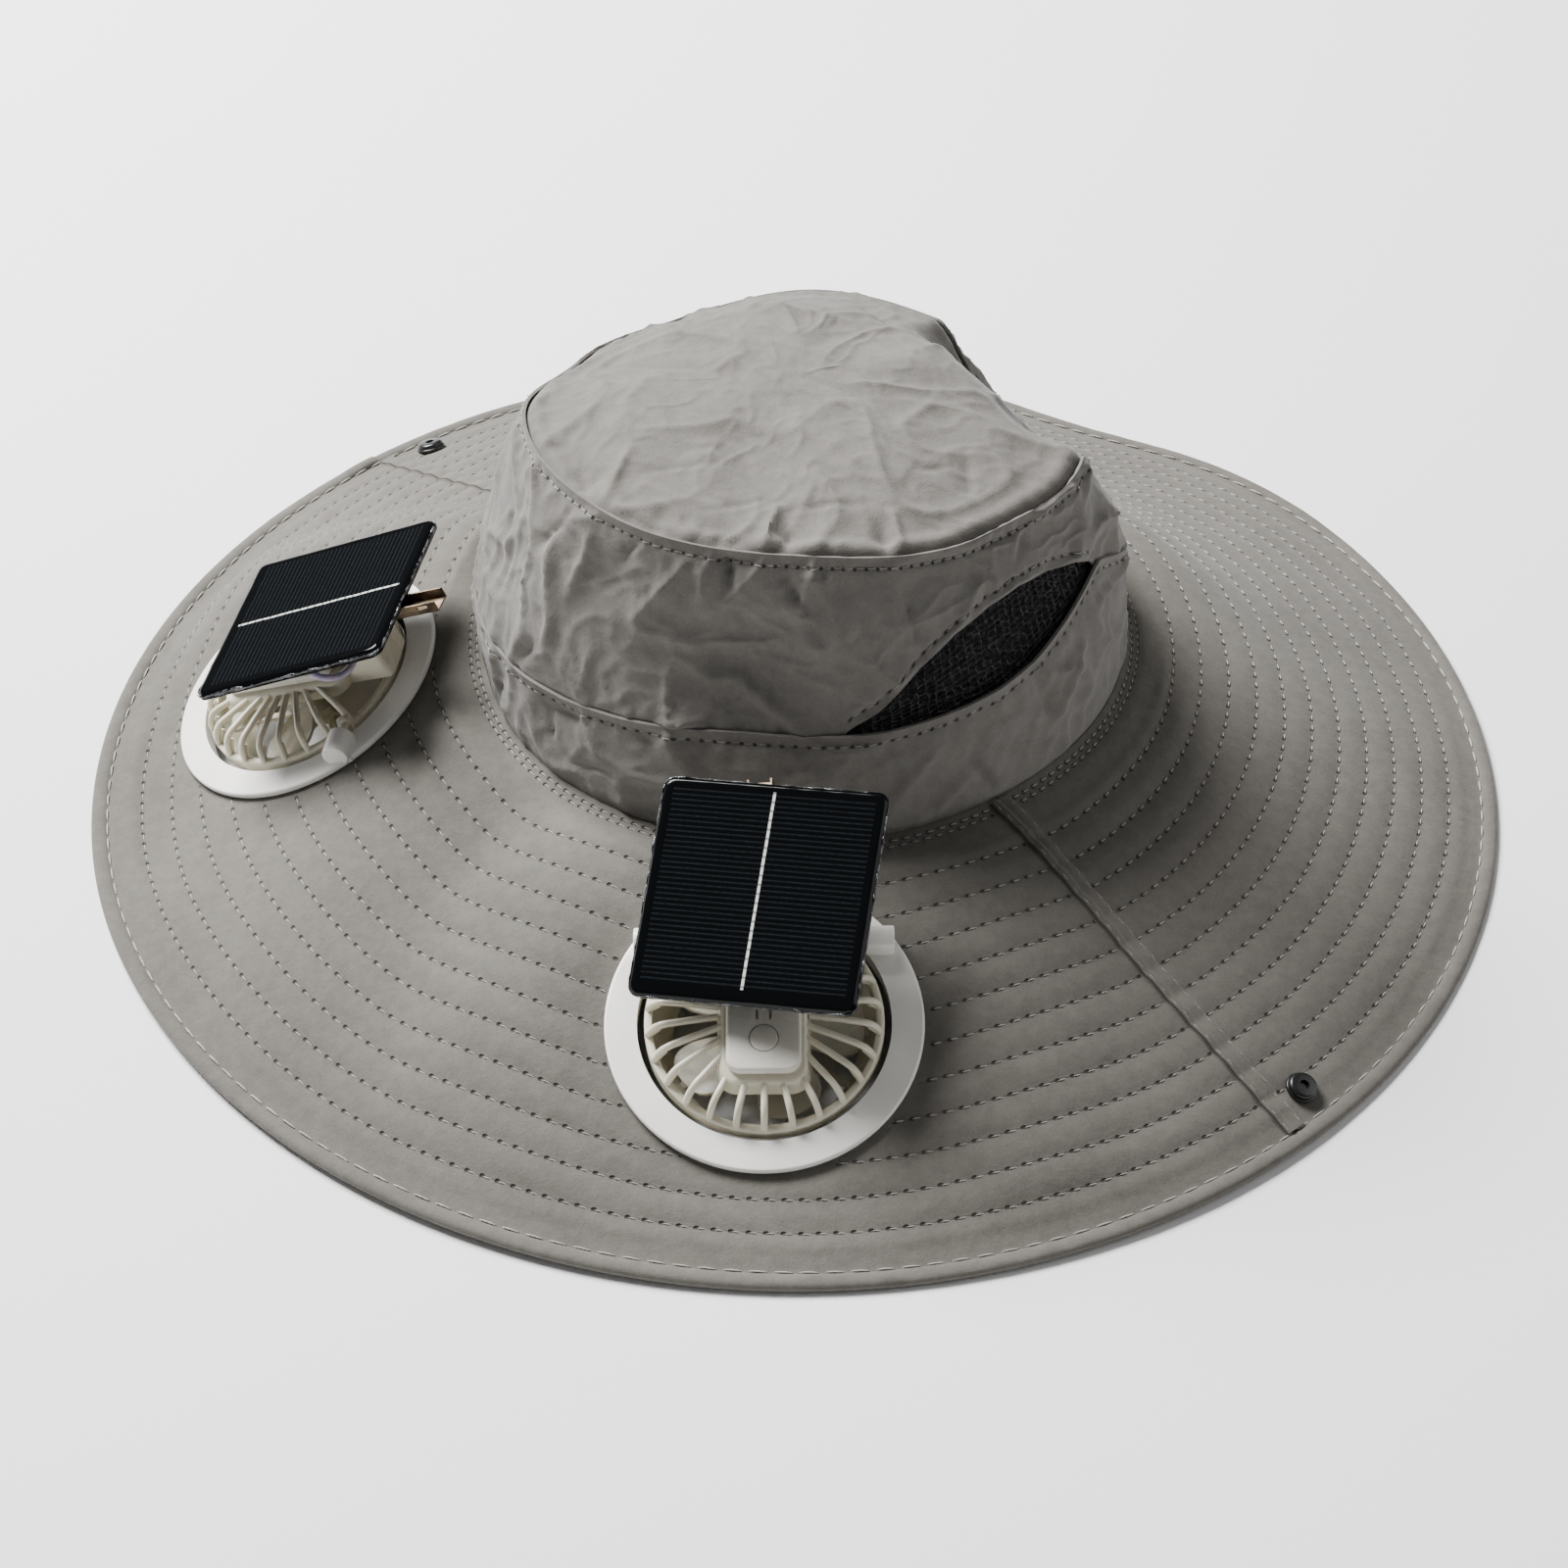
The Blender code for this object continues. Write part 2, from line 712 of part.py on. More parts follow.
def binding():
    # A flat roll round the edge; its underside is flat where it rests on the table
    half = BINDING_THICKNESS / 2
    start = binding_start()
    width = 1.0 - start
    section = [(0.0, 0.8), (0.5, 1.0), (0.9, 0.7), (1.0, -0.2), (0.85, -1.0), (0.4, -1.0), (0.0, -0.7)]
    front = half_columns(SEAM_LEFT, SEAM_RIGHT)
    back = half_columns(SEAM_RIGHT, SEAM_LEFT)

    def place(turn, loop):
        column = round(turn * (front + back))
        corner = section[round(loop * len(section)) % len(section)]
        across = start + 5 * GAP / BRIM_RADIUS + width * corner[0]
        if column < front:
            azimuth = half_azimuth(SEAM_LEFT, SEAM_RIGHT, column / front, start)
        else:
            azimuth = half_azimuth(SEAM_RIGHT, SEAM_LEFT, (column - front) / back, start)
        up = brim_normal(azimuth, (start + 1.0) / 2)
        point = brim_point(azimuth, min(across, 1.0)) - up * BRIM_WALL / 2 + up * half * corner[1]
        point.z = max(point.z, 0.0)
        return point

    mesh = sheet_mesh("brim_binding", front + back, len(section), place, 0.0)
    return add_part("brim_binding", mesh, "cloth_brim")


def seam_strip(seam):
    rows = 8

    def place(side, inward):
        across = binding_start() * (1.0 - inward) + inward * 2.5 * brim_start(seam.at_crown)
        azimuth = seam_azimuth(seam, across)
        degree = (brim_plan(azimuth + 0.5, across) - brim_plan(azimuth - 0.5, across)).length
        swing = (side - 0.5) * SEAM_STRIP_WIDTH / degree
        point = brim_point(azimuth + swing, across)
        return point + brim_normal(azimuth + swing, across) * (GAP * 1.5 + SEAM_STRIP_WALL)

    mesh = sheet_mesh(seam.name, 2, rows, place, SEAM_STRIP_WALL)
    return add_part(seam.name, mesh, "cloth_brim")


def snap(row):
    profile = [
        (0.0, SNAP_HEIGHT),
        (0.45 * SNAP_RADIUS, SNAP_HEIGHT),
        (0.80 * SNAP_RADIUS, 0.75 * SNAP_HEIGHT),
        (SNAP_RADIUS, SNAP_FOOT),
        (SNAP_RADIUS, 0.0),
        (0.0, 0.0),
    ]
    mesh = turned_mesh(row.name, profile, 12)
    up = brim_normal(row.azimuth, row.across)
    place = brim_point(row.azimuth, row.across) + up * GAP
    mesh.transform(Matrix.Translation(place) @ up.to_track_quat("Z", "Y").to_matrix().to_4x4())
    return add_part(row.name, mesh, "snap_black")


def wall_shell(name, rows, span):
    # A closed piece of the crown wall; span() gives its lowest and highest height at an azimuth.
    # The loop of each column runs up the outer side and down the inner side.
    loop = 2 * (rows + 1)

    def place(turn, along):
        azimuth = crown_azimuth(turn)
        step = round(along * loop) % loop
        inner = step > rows
        row = loop - 1 - step if inner else step
        low, high = span(azimuth)
        return wall_point(azimuth, low + (high - low) * row / rows, -CROWN_WALL if inner else 0.0)

    return add_part(name, sheet_mesh(name, CROWN_COLUMNS, loop, place, 0.0), "cloth_crown")


def band_span(azimuth):
    low = brim_point(azimuth, brim_start(azimuth)).z - BRIM_WALL
    return low, cut_height(azimuth, "band") - GAP / 2


def side_span(azimuth):
    return cut_height(azimuth, "side") + GAP / 2, top_height(azimuth) - TOP_WALL - 2 * GAP


def crown_top():
    def place(turn, inward):
        return top_point(crown_azimuth(turn), 1.0 - inward)

    mesh = sheet_mesh("crown_top", CROWN_COLUMNS, TOP_ROWS, place, TOP_WALL)
    return add_part("crown_top", mesh, "cloth_crown")


def net(name, way):
    # Behind a window, grown by a margin; its columns fall behind those of the wall
    inside = -(CROWN_WALL + 4 * GAP)
    pitch = 360.0 / CROWN_COLUMNS
    columns = round((WINDOW_LAST - WINDOW_FIRST) / pitch) + 2
    margin = math.degrees(NET_MARGIN / HEAD_HALF_LENGTH)

    def place(along, up):
        turn = WINDOW_FIRST + pitch * (along * columns - 1)
        turn = min(max(turn, WINDOW_FIRST - margin), WINDOW_LAST + margin)
        azimuth = FACE_AZIMUTH + way * turn
        inner = FACE_AZIMUTH + way * min(max(turn, WINDOW_FIRST), WINDOW_LAST)
        low = cut_height(inner, "band") - NET_MARGIN
        high = cut_height(inner, "side") + NET_MARGIN
        return wall_point(azimuth, low + (high - low) * (up if way > 0 else 1.0 - up), inside)

    return add_part(name, sheet_mesh(name, columns, NET_ROWS, place, NET_WALL), "black_net")


# Fan pieces, all in the fan's frame: sideways, crownward, up from the brim

def cage_radius():
    return RING_BORE - CAGE_GAP


def ring_mesh():
    top = GAP + RING_THICKNESS
    under = -BRIM_WALL - GAP
    collar = RING_BORE + COLLAR_WALL
    profile = [
        (RING_BORE, top),
        (RING_RADIUS - RING_CHAMFER, top),
        (RING_RADIUS, top - RING_CHAMFER),
        (RING_RADIUS, GAP),
        (collar, GAP),
        (collar, under),
        (collar + LIP_REACH, under),
        (collar + LIP_REACH, under - LIP_THICKNESS),
        (RING_BORE, under - LIP_THICKNESS),
    ]
    mesh = turned_mesh("ring", profile, RING_STEPS)
    barrels = []
    bores = []
    for side in (-1, 1):
        start = barrel_start()
        near = Vector((side * start, TILT_OFFSET, TILT_HEIGHT))
        far = Vector((side * (start + BARREL_LENGTH), TILT_OFFSET, TILT_HEIGHT))
        barrels.append(rod_mesh("barrel", BARREL_RADIUS, near, far, 12))
        bores.append(rod_mesh("bore", TILT_PIN_RADIUS + GAP, near - SIDEWAYS * side * RING_THICKNESS,
                              near + SIDEWAYS * side * (pin_reach() + GAP), 8))
    mesh = boolean("ring", mesh, barrels, "UNION")
    return boolean("ring", mesh, bores, "DIFFERENCE")


def barrel_start():
    # The barrels stand on the flange, clear of the cage's rim at their outer side
    rim = math.sqrt(cage_radius() ** 2 - (TILT_OFFSET - BARREL_RADIUS) ** 2)
    return rim + 3 * GAP


def pin_reach():
    return 0.7 * BARREL_LENGTH


def cage_mesh():
    outer = cage_radius()
    rear = outer - CAGE_TAPER
    profile = [
        (outer - CAGE_WALL, CAGE_RIM_HEIGHT),
        (outer, CAGE_RIM_HEIGHT * 0.7),
        (outer, -CAGE_DEPTH * 0.1),
        (rear, -CAGE_DEPTH),
        (rear - CAGE_WALL, -CAGE_DEPTH),
        (outer - CAGE_WALL, -CAGE_DEPTH * 0.1),
    ]
    drum = turned_mesh("drum", profile, DRUM_STEPS)
    pieces = cage_ribs() + cage_rear(rear) + cage_hub() + cage_neck()
    for side in (-1, 1):
        rim = math.sqrt(outer ** 2 - TILT_OFFSET ** 2)
        start = Vector((side * (rim - CAGE_WALL / 2), TILT_OFFSET, TILT_HEIGHT))
        end = Vector((side * (barrel_start() + pin_reach()), TILT_OFFSET, TILT_HEIGHT))
        pieces.append(rod_mesh("pin", TILT_PIN_RADIUS, start, end, 8))
        low = start - Vector((RIB_RADIUS, 1.3 * RIB_RADIUS, 3 * RIB_RADIUS))
        high = start + Vector((RIB_RADIUS, 1.3 * RIB_RADIUS, 2 * RIB_RADIUS))
        pieces.append(box_mesh("lug", low, high))
    mesh = boolean("cage", drum, pieces, "UNION")
    return mesh


def cage_ribs():
    outer = cage_radius() - CAGE_WALL / 2
    # Radius as a share of the rim's and height as a share of the dome's, from rim to hub
    profile = [(0.99, 0.15), (0.90, 0.82), (0.38, 0.87)]
    points = [(outer * reach, 0.0, DOME_HEIGHT * height) for reach, height in profile]
    rib = tube_mesh("rib", points, RIB_RADIUS, 0)
    count = 2 * int(RIB_SPREAD / RIB_PITCH) + 1
    return [turned_copy(rib, -90.0 + RIB_PITCH * (index - count // 2)) for index in range(count)]


def cage_rear(radius):
    low = -CAGE_DEPTH
    high = low + CAGE_WALL
    half = SPOKE_WIDTH / 2
    spoke = box_mesh("spoke", (0.0, -half, low + GAP), (radius - CAGE_WALL / 2, half, high))
    spokes = [turned_copy(spoke, 360.0 * (index + 0.5) / SPOKES) for index in range(SPOKES)]
    disc = rod_mesh("disc", REAR_HUB_RADIUS, Vector((0, 0, low)), Vector((0, 0, high + GAP)), 12)
    return spokes + [disc]


def hub_top():
    return DOME_HEIGHT


def cage_hub():
    frame = box_mesh("hub", (-HUB_WIDTH / 2, -HUB_REACH, hub_top() - HUB_DEPTH),
                     (HUB_WIDTH / 2, NECK_START + HUB_CORNER, hub_top()), HUB_CORNER)
    motor = rod_mesh("motor", MOTOR_RADIUS, Vector((0, 0, IMPELLER_TOP + GAP)),
                     Vector((0, 0, hub_top() - HUB_DEPTH / 2)), 12)
    shaft = rod_mesh("shaft", SHAFT_RADIUS, Vector((0, 0, IMPELLER_TOP - 0.8 * IMPELLER_HUB_HEIGHT)),
                     Vector((0, 0, IMPELLER_TOP + 4 * GAP)), 8)
    return [frame, motor, shaft]


def cage_neck():
    # A leaning block that carries the panel's hinge between two ears
    half = NECK_WIDTH / 2
    slot = BRACKET_WIDTH / 2 + GAP
    top = HINGE_HEIGHT - KNUCKLE_RADIUS - 2 * GAP
    end = HINGE_OFFSET + KNUCKLE_RADIUS
    block = box_mesh("neck", (-half, NECK_START, NECK_FLOOR), (half, end, top), NECK_WIDTH / 6, 1)
    form = bmesh.new()
    form.from_mesh(block)
    for point in form.verts:
        rise = (point.co.z - NECK_FLOOR) / (top - NECK_FLOOR)
        if point.co.y < HINGE_OFFSET - 2 * KNUCKLE_RADIUS:
            point.co.y += rise * (HINGE_OFFSET - 2 * KNUCKLE_RADIUS - NECK_START)
    form.to_mesh(block)
    form.free()
    pieces = [block]
    for side in (-1, 1):
        near = Vector((side * slot, HINGE_OFFSET, HINGE_HEIGHT))
        far = Vector((side * half * 0.9, HINGE_OFFSET, HINGE_HEIGHT))
        pieces.append(rod_mesh("ear", KNUCKLE_RADIUS, near, far, 10))
        low = (min(near.x, far.x) + GAP, HINGE_OFFSET - KNUCKLE_RADIUS * 0.9, top - BRACKET_SHEET)
        high = (max(near.x, far.x) - GAP, HINGE_OFFSET + KNUCKLE_RADIUS * 0.9, HINGE_HEIGHT)
        pieces.append(box_mesh("ear_foot", low, high))
    reach = SIDEWAYS * (slot + BRACKET_SHEET)
    pivot = Vector((0, HINGE_OFFSET, HINGE_HEIGHT))
    pieces.append(rod_mesh("hinge_pin", HINGE_PIN_RADIUS, pivot - reach, pivot + reach, 8))
    return pieces


def power_box_mesh():
    low = hub_top() + GAP
    high = low + BOX_HEIGHT
    mesh = box_mesh("power_box", (-BOX_WIDTH / 2, -BOX_REACH, low), (BOX_WIDTH / 2, NECK_START - GAP, high),
                    BOX_CORNER)
    pocket = rod_mesh("pocket", BUTTON_RADIUS + GAP, Vector((0, -BUTTON_PLACE, high - BUTTON_POCKET)),
                      Vector((0, -BUTTON_PLACE, high + BUTTON_POCKET)), 16)
    return boolean("power_box", mesh, [pocket], "DIFFERENCE")


def button_mesh():
    high = hub_top() + GAP + BOX_HEIGHT
    return rod_mesh("button", BUTTON_RADIUS, Vector((0, -BUTTON_PLACE, high - BUTTON_HEIGHT)),
                    Vector((0, -BUTTON_PLACE, high + GAP)), 16)


def impeller_mesh():
    low = IMPELLER_TOP - IMPELLER_HUB_HEIGHT
    bore = SHAFT_RADIUS + GAP
    profile = [
        (IMPELLER_HUB_RADIUS * 0.9, IMPELLER_TOP),
        (IMPELLER_HUB_RADIUS, IMPELLER_TOP - BLADE_WALL),
        (IMPELLER_HUB_RADIUS, low),
        (bore, low),
        (bore, IMPELLER_TOP),
    ]
    hub = turned_mesh("impeller_hub", profile, 12)
    blades = [turned_copy(blade_mesh(), 360.0 * index / BLADE_COUNT) for index in range(BLADE_COUNT)]
    return boolean("impeller", hub, blades, "UNION")


def blade_mesh():
    middle = IMPELLER_TOP - IMPELLER_HUB_HEIGHT / 2 + BLADE_WALL / 2
    root = IMPELLER_HUB_RADIUS - BLADE_WALL
    pitch = math.tan(math.radians(BLADE_PITCH))

    def place(along, chord):
        radius = root + (BLADE_REACH - root) * along
        turn = math.radians(BLADE_SWEEP) * (chord - 0.5) * (1.0 - 0.25 * along ** 4)
        rise = IMPELLER_HUB_RADIUS * turn * pitch
        return Vector((radius * math.cos(turn), radius * math.sin(turn), middle + rise))

    return sheet_mesh("blade", 3, 2, place, BLADE_WALL)


# Panel pieces, in the channel's frame: its floor lies above the hinge and its tail is crownward

def channel_frame(roll):
    return Matrix.Translation((0, 0, CHANNEL_RISE)) @ Matrix.Rotation(math.radians(-roll), 4, "Y")


def bracket_mesh(roll):
    # A channel rolled against the knuckle below it
    half = BRACKET_WIDTH / 2
    top = BRACKET_SHEET + BRACKET_LEAF
    base = box_mesh("base", (-half, -BRACKET_HEAD, 0.0), (half, BRACKET_TAIL, BRACKET_SHEET))
    leaves = []
    for side in (-1, 1):
        inner = side * (half - BRACKET_SHEET)
        outer = side * half
        leaves.append(box_mesh("leaf", (min(inner, outer), -BRACKET_HEAD, 0.0),
                               (max(inner, outer), BRACKET_TAIL, top)))
    slot = box_mesh("slot", (0.0, 0.80 * BRACKET_TAIL, BRACKET_SHEET + 0.3 * BRACKET_LEAF),
                    (BRACKET_WIDTH, 0.87 * BRACKET_TAIL, BRACKET_SHEET + 0.7 * BRACKET_LEAF))
    channel = channel_frame(roll)
    for mesh in [base, slot] + leaves:
        mesh.transform(channel)
    ends = SIDEWAYS * (half - BRACKET_SHEET)
    knuckle = rod_mesh("knuckle", KNUCKLE_RADIUS, -ends, ends, 10)
    web = box_mesh("web", (-ends.x, -KNUCKLE_RADIUS * 0.8, 0.0), (ends.x, KNUCKLE_RADIUS * 0.8, GAP))
    for point in web.vertices:
        if point.co.z > GAP / 2:
            point.co = channel @ point.co
    mesh = boolean("bracket", base, leaves + [knuckle, web], "UNION")
    bore = rod_mesh("bore", HINGE_PIN_RADIUS + GAP, -2 * ends, 2 * ends, 8)
    return boolean("bracket", mesh, [slot, bore], "DIFFERENCE")


def panel_floor():
    return BRACKET_SHEET + BRACKET_LEAF + GAP


def panel_mesh():
    half = PANEL_SIZE / 2
    return box_mesh("panel", (-half, -half, panel_floor()), (half, half, panel_floor() + PANEL_THICKNESS),
                    PANEL_CORNER)


def wire_mesh():
    floor = panel_floor() - WIRE_RADIUS - GAP
    points = [Vector((side, out, 0.0)) * PANEL_SIZE + UPWARD * (floor + (0.05 - down) * PANEL_SIZE)
              for side, out, down in WIRE_ROUTE]
    return tube_mesh("wire", smooth_route(points, 2), WIRE_RADIUS, 1)


def smooth_route(points, steps):
    # Points of a smooth curve through the route's own points
    ends = [points[0] * 2 - points[1]] + points + [points[-1] * 2 - points[-2]]
    route = []
    for index in range(1, len(ends) - 2):
        before, start, end, after = ends[index - 1:index + 3]
        for step in range(steps):
            share = step / steps
            slope = end - before
            bend = 2 * before - 5 * start + 4 * end - after
            twist = 3 * start - before - 3 * end + after
            route.append(start + (slope * share + bend * share ** 2 + twist * share ** 3) / 2)
    return route + [points[-1]]


def add_fan(fan, meshes):
    frame = add_empty(fan.name + "_fan", fan_frame(fan))
    pivot = Vector((0, TILT_OFFSET, TILT_HEIGHT))
    tilt = add_empty(fan.name + "_tilt", Matrix.Translation(pivot), frame)
    rise = Matrix.Rotation(math.radians(fan.panel_rise), 4, "X")
    hinge_place = Vector((0, HINGE_OFFSET, HINGE_HEIGHT))
    hinge = add_empty(fan.name + "_hinge", Matrix.Translation(hinge_place - pivot) @ rise, tilt)
    add_part(fan.name + "_ring", meshes["ring"], "ring_white", frame)
    add_part(fan.name + "_cage", meshes["cage"], "cage_cream", tilt)
    add_part(fan.name + "_power_box", meshes["power_box"], "cage_cream", tilt)
    add_part(fan.name + "_button", meshes["button"], "cage_cream", tilt,
             Vector((0, -BUTTON_PLACE, hub_top() + BOX_HEIGHT)) - pivot)
    add_part(fan.name + "_impeller", meshes["impeller"], "blade_milky", tilt, -pivot)
    add_part(fan.name + "_panel_bracket", bracket_mesh(fan.panel_roll), "bracket_brass", hinge)
    channel = add_empty(fan.name + "_channel", channel_frame(fan.panel_roll), hinge)
    panel = add_part(fan.name + "_panel", meshes["panel"], "solar_cell", channel)
    panel.location = (fan.panel_side * PANEL_SIZE, -fan.panel_back * PANEL_SIZE, 0.0)
    panel.rotation_euler.z = math.radians(fan.panel_turn)
    add_part(fan.name + "_panel_wire", meshes["wire"], "wire_sheath", channel)


def fan_meshes():
    pivot = (0, TILT_OFFSET, TILT_HEIGHT)
    return {
        "ring": ring_mesh(),
        "cage": moved(cage_mesh(), pivot),
        "power_box": moved(power_box_mesh(), pivot),
        "button": moved(button_mesh(), (0, -BUTTON_PLACE, hub_top() + BOX_HEIGHT)),
        "impeller": impeller_mesh(),
        "panel": panel_mesh(),
        "wire": wire_mesh(),
    }


clear_scene()
model = new_collection("solar_fan_hat")
bench = new_collection("bench")
materials = {name: make_material(name, finish) for name, finish in FINISHES.items()}

brim_half("brim_front", SEAM_LEFT, SEAM_RIGHT)
brim_half("brim_back", SEAM_RIGHT, SEAM_LEFT)
binding()
seam_strip(SEAM_RIGHT)
seam_strip(SEAM_LEFT)
for row in SNAPS:
    snap(row)
wall_shell("crown_band", BAND_ROWS, band_span)
wall_shell("crown_side", SIDE_ROWS, side_span)
crown_top()
net("mesh_right", 1)
net("mesh_left", -1)

shared_meshes = fan_meshes()
for fan in FANS:
    add_fan(fan, shared_meshes)
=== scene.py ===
# Solar fan hat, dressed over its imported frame. Blender 4.5, metres, +Z up.
# Azimuths are degrees from +X towards +Y. Fan pieces are built in a fan's own frame: sideways,
# towards the crown, up from the brim, and are then copied to both fans.
import json
import math
import bpy
import numpy as np
from mathutils import Matrix, Vector


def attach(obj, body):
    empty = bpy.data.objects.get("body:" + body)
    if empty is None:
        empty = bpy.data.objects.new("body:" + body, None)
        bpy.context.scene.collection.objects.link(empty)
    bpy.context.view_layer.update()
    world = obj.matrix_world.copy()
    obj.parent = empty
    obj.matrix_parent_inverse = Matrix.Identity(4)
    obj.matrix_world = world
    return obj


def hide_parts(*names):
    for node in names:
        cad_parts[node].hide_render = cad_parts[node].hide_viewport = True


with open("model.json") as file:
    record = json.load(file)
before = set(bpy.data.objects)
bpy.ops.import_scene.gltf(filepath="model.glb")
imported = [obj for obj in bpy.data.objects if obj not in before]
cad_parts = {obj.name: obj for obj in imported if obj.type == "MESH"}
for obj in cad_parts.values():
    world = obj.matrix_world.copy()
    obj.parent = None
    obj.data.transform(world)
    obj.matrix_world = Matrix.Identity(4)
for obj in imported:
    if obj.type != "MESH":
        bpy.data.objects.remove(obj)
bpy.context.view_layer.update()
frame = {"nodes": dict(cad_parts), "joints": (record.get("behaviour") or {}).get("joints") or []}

print("frame loaded", len(frame["nodes"]), "nodes")

# Helpers


def hexToLinear(code):
    parts = [int(code[i:i + 2], 16) / 255 for i in (1, 3, 5)]
    return tuple(c / 12.92 if c <= 0.04045 else ((c + 0.055) / 1.055) ** 2.4 for c in parts) + (1.0,)


def deselectAll():
    if bpy.context.object and bpy.context.object.mode != "OBJECT":
        bpy.ops.object.mode_set(mode="OBJECT")
    bpy.ops.object.select_all(action="DESELECT")


def pick(piece):
    deselectAll()
    piece.select_set(True)
    bpy.context.view_layer.objects.active = piece


def applyAll(piece):
    pick(piece)
    for modifier in list(piece.modifiers):
        bpy.ops.object.modifier_apply(modifier=modifier.name)


def giveWall(piece, thickness, offset=-1):
    solid = piece.modifiers.new("Wall", "SOLIDIFY")
    solid.thickness = thickness
    solid.offset = offset
    applyAll(piece)


def bakePlace(piece):  # the place goes into the mesh, the object stays at the origin
    pick(piece)
    bpy.ops.object.transform_apply(location=True, rotation=True, scale=True)


def smoothShade(piece, degrees=35):
    pick(piece)
    bpy.ops.object.shade_smooth_by_angle(angle=math.radians(degrees))


def joinPieces(name, parts):
    deselectAll()
    for part in parts:
        part.select_set(True)
    bpy.context.view_layer.objects.active = parts[0]
    bpy.ops.object.join()
    parts[0].name = name
    return parts[0]


def mergeDoubles(piece, outwards=False):
    pick(piece)
    bpy.ops.object.mode_set(mode="EDIT")
    bpy.ops.mesh.select_all(action="SELECT")
    bpy.ops.mesh.remove_doubles(threshold=0.00002)
    if outwards:
        bpy.ops.mesh.normals_make_consistent(inside=False)
    bpy.ops.object.mode_set(mode="OBJECT")


def finish(piece, material, body, slotName, *nodes):
    piece.data.materials.clear()
    piece.data.materials.append(material)
    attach(piece, body)
    if nodes:
        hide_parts(*nodes)
    return piece


def eased(share):
    share = np.clip(share, 0.0, 1.0)
    return share * share * (3 - 2 * share)


def angleFrom(first, second):
    return (first - second + 180.0) % 360.0 - 180.0


def bell(distance, halfWidth):
    return np.exp(-0.7 * (distance / halfWidth) ** 2)


# Smooth noise for creases and wear, the same each run

chance = np.random.RandomState(11)
noiseOrder = np.concatenate([chance.permutation(256)] * 2)
noiseSlopes = chance.normal(size=(256, 3))
noiseSlopes /= np.linalg.norm(noiseSlopes, axis=1, keepdims=True)


def cloudy(points):  # gradient noise, about -1 to 1, points in cells
    base = np.floor(points).astype(int)
    part = points - base
    fade = part ** 3 * (part * (part * 6 - 15) + 10)
    total = 0
    for dx in (0, 1):
        for dy in (0, 1):
            for dz in (0, 1):
                spot = noiseOrder[(base[..., 0] + dx) & 255]
                spot = noiseOrder[(spot + base[..., 1] + dy) & 255]
                spot = noiseOrder[(spot + base[..., 2] + dz) & 255]
                lean = ((part - np.array([dx, dy, dz])) * noiseSlopes[spot]).sum(-1)
                weight = (fade[..., 0] if dx else 1 - fade[..., 0])
                weight = weight * (fade[..., 1] if dy else 1 - fade[..., 1])
                weight = weight * (fade[..., 2] if dz else 1 - fade[..., 2])
                total = total + lean * weight
    return total * 1.6


def creased(points, size, seed):  # sharp creases between soft facets, 0 on a crease, about 1 off it
    shifted = points / size + seed * 7.3
    warp = np.stack([cloudy(shifted * 0.6 + 5), cloudy(shifted * 0.6 + 17), cloudy(shifted * 0.6 + 31)], -1)
    return np.minimum(np.abs(cloudy(shifted + 0.8 * warp)) * 2.6, 1.0)


# The hat's main surfaces, as in the frame

hat = {
    "brimRadius": 0.213, "brimWall": 0.0016, "seamHeight": 0.0445, "seamRise": 0.006,
    "edgeRise": 0.003, "edgePull": 0.0105, "restShare": 0.96, "settle": 0.0003,
    "bindingWidth": 0.007, "bindingThickness": 0.0032, "foldDepth": 0.010,
    "headLength": 0.0955, "headWidth": 0.0925, "crownOffset": (0.003, 0.008),
    "crownHeight": 0.132, "crownPuff": 0.006, "crownLean": 1.9,
    "bandSag": 0.010, "topShift": (-0.002, 0.003), "faceAzimuth": 223.0,
    "caveStart": 0.60, "caveLevel": 0.945, "ringRadius": 0.044,
    "flatShare": 1.12, "easeShare": 2.45, "jointShare": 0.12, "hemShare": 0.14,
}
seamRises = [(335, 45, 1.0), (168, 20, 0.9)]  # azimuth, half width, share of the rise
edgeRises = [(238, 20, 0.5), (305, 16, 0.3)]
edgePulls = [(62, 11, 1.0)]
bandSags = [(190, 24, 1.0)]
# azimuth, place across, half width, half across, share of the fold depth
brimSwells = [(28, 0.20, 20, 0.16, 0.75), (48, 0.45, 9, 0.30, -0.25), (210, 0.60, 12, 0.35, 0.20),
              (335, 0.55, 18, 0.30, -0.20), (179, 0.45, 16, 0.30, 0.10), (266, 0.43, 16, 0.30, 0.09)]
topSwells = [(300, 0.55, 16, 0.25, 0.18), (250, 0.60, 14, 0.25, -0.16), (205, 0.55, 15, 0.30, 0.15),
             (110, 0.60, 18, 0.30, 0.22), (20, 0.45, 14, 0.14, 0.25)]
# top seam: azimuth, reach, height
topSeam = [(6, 0.82, 0.800), (28, 0.78, 0.735), (43, 0.75, 0.790), (56, 0.74, 0.920), (87, 0.80, 0.910),
           (120, 0.78, 0.890), (150, 0.80, 0.910), (188, 0.84, 1.000), (225, 0.81, 1.000),
           (265, 0.75, 0.985), (310, 0.79, 0.960), (346, 0.84, 0.945)]
# dents of the crown wall: azimuth, level, half width, half level, share of the fold depth
wallDents = [(256, 0.60, 13, 0.17, 0.90), (281, 0.70, 7, 0.24, -0.15), (228, 0.78, 8, 0.18, 0.35),
             (212, 0.64, 6, 0.27, -0.25), (196, 0.66, 7, 0.22, 0.30), (188, 0.26, 14, 0.16, -0.25),
             (165, 0.66, 9, 0.24, -0.20), (120, 0.66, 12, 0.22, 0.35), (80, 0.60, 10, 0.22, 0.30),
             (352, 0.60, 8, 0.22, -0.30)]
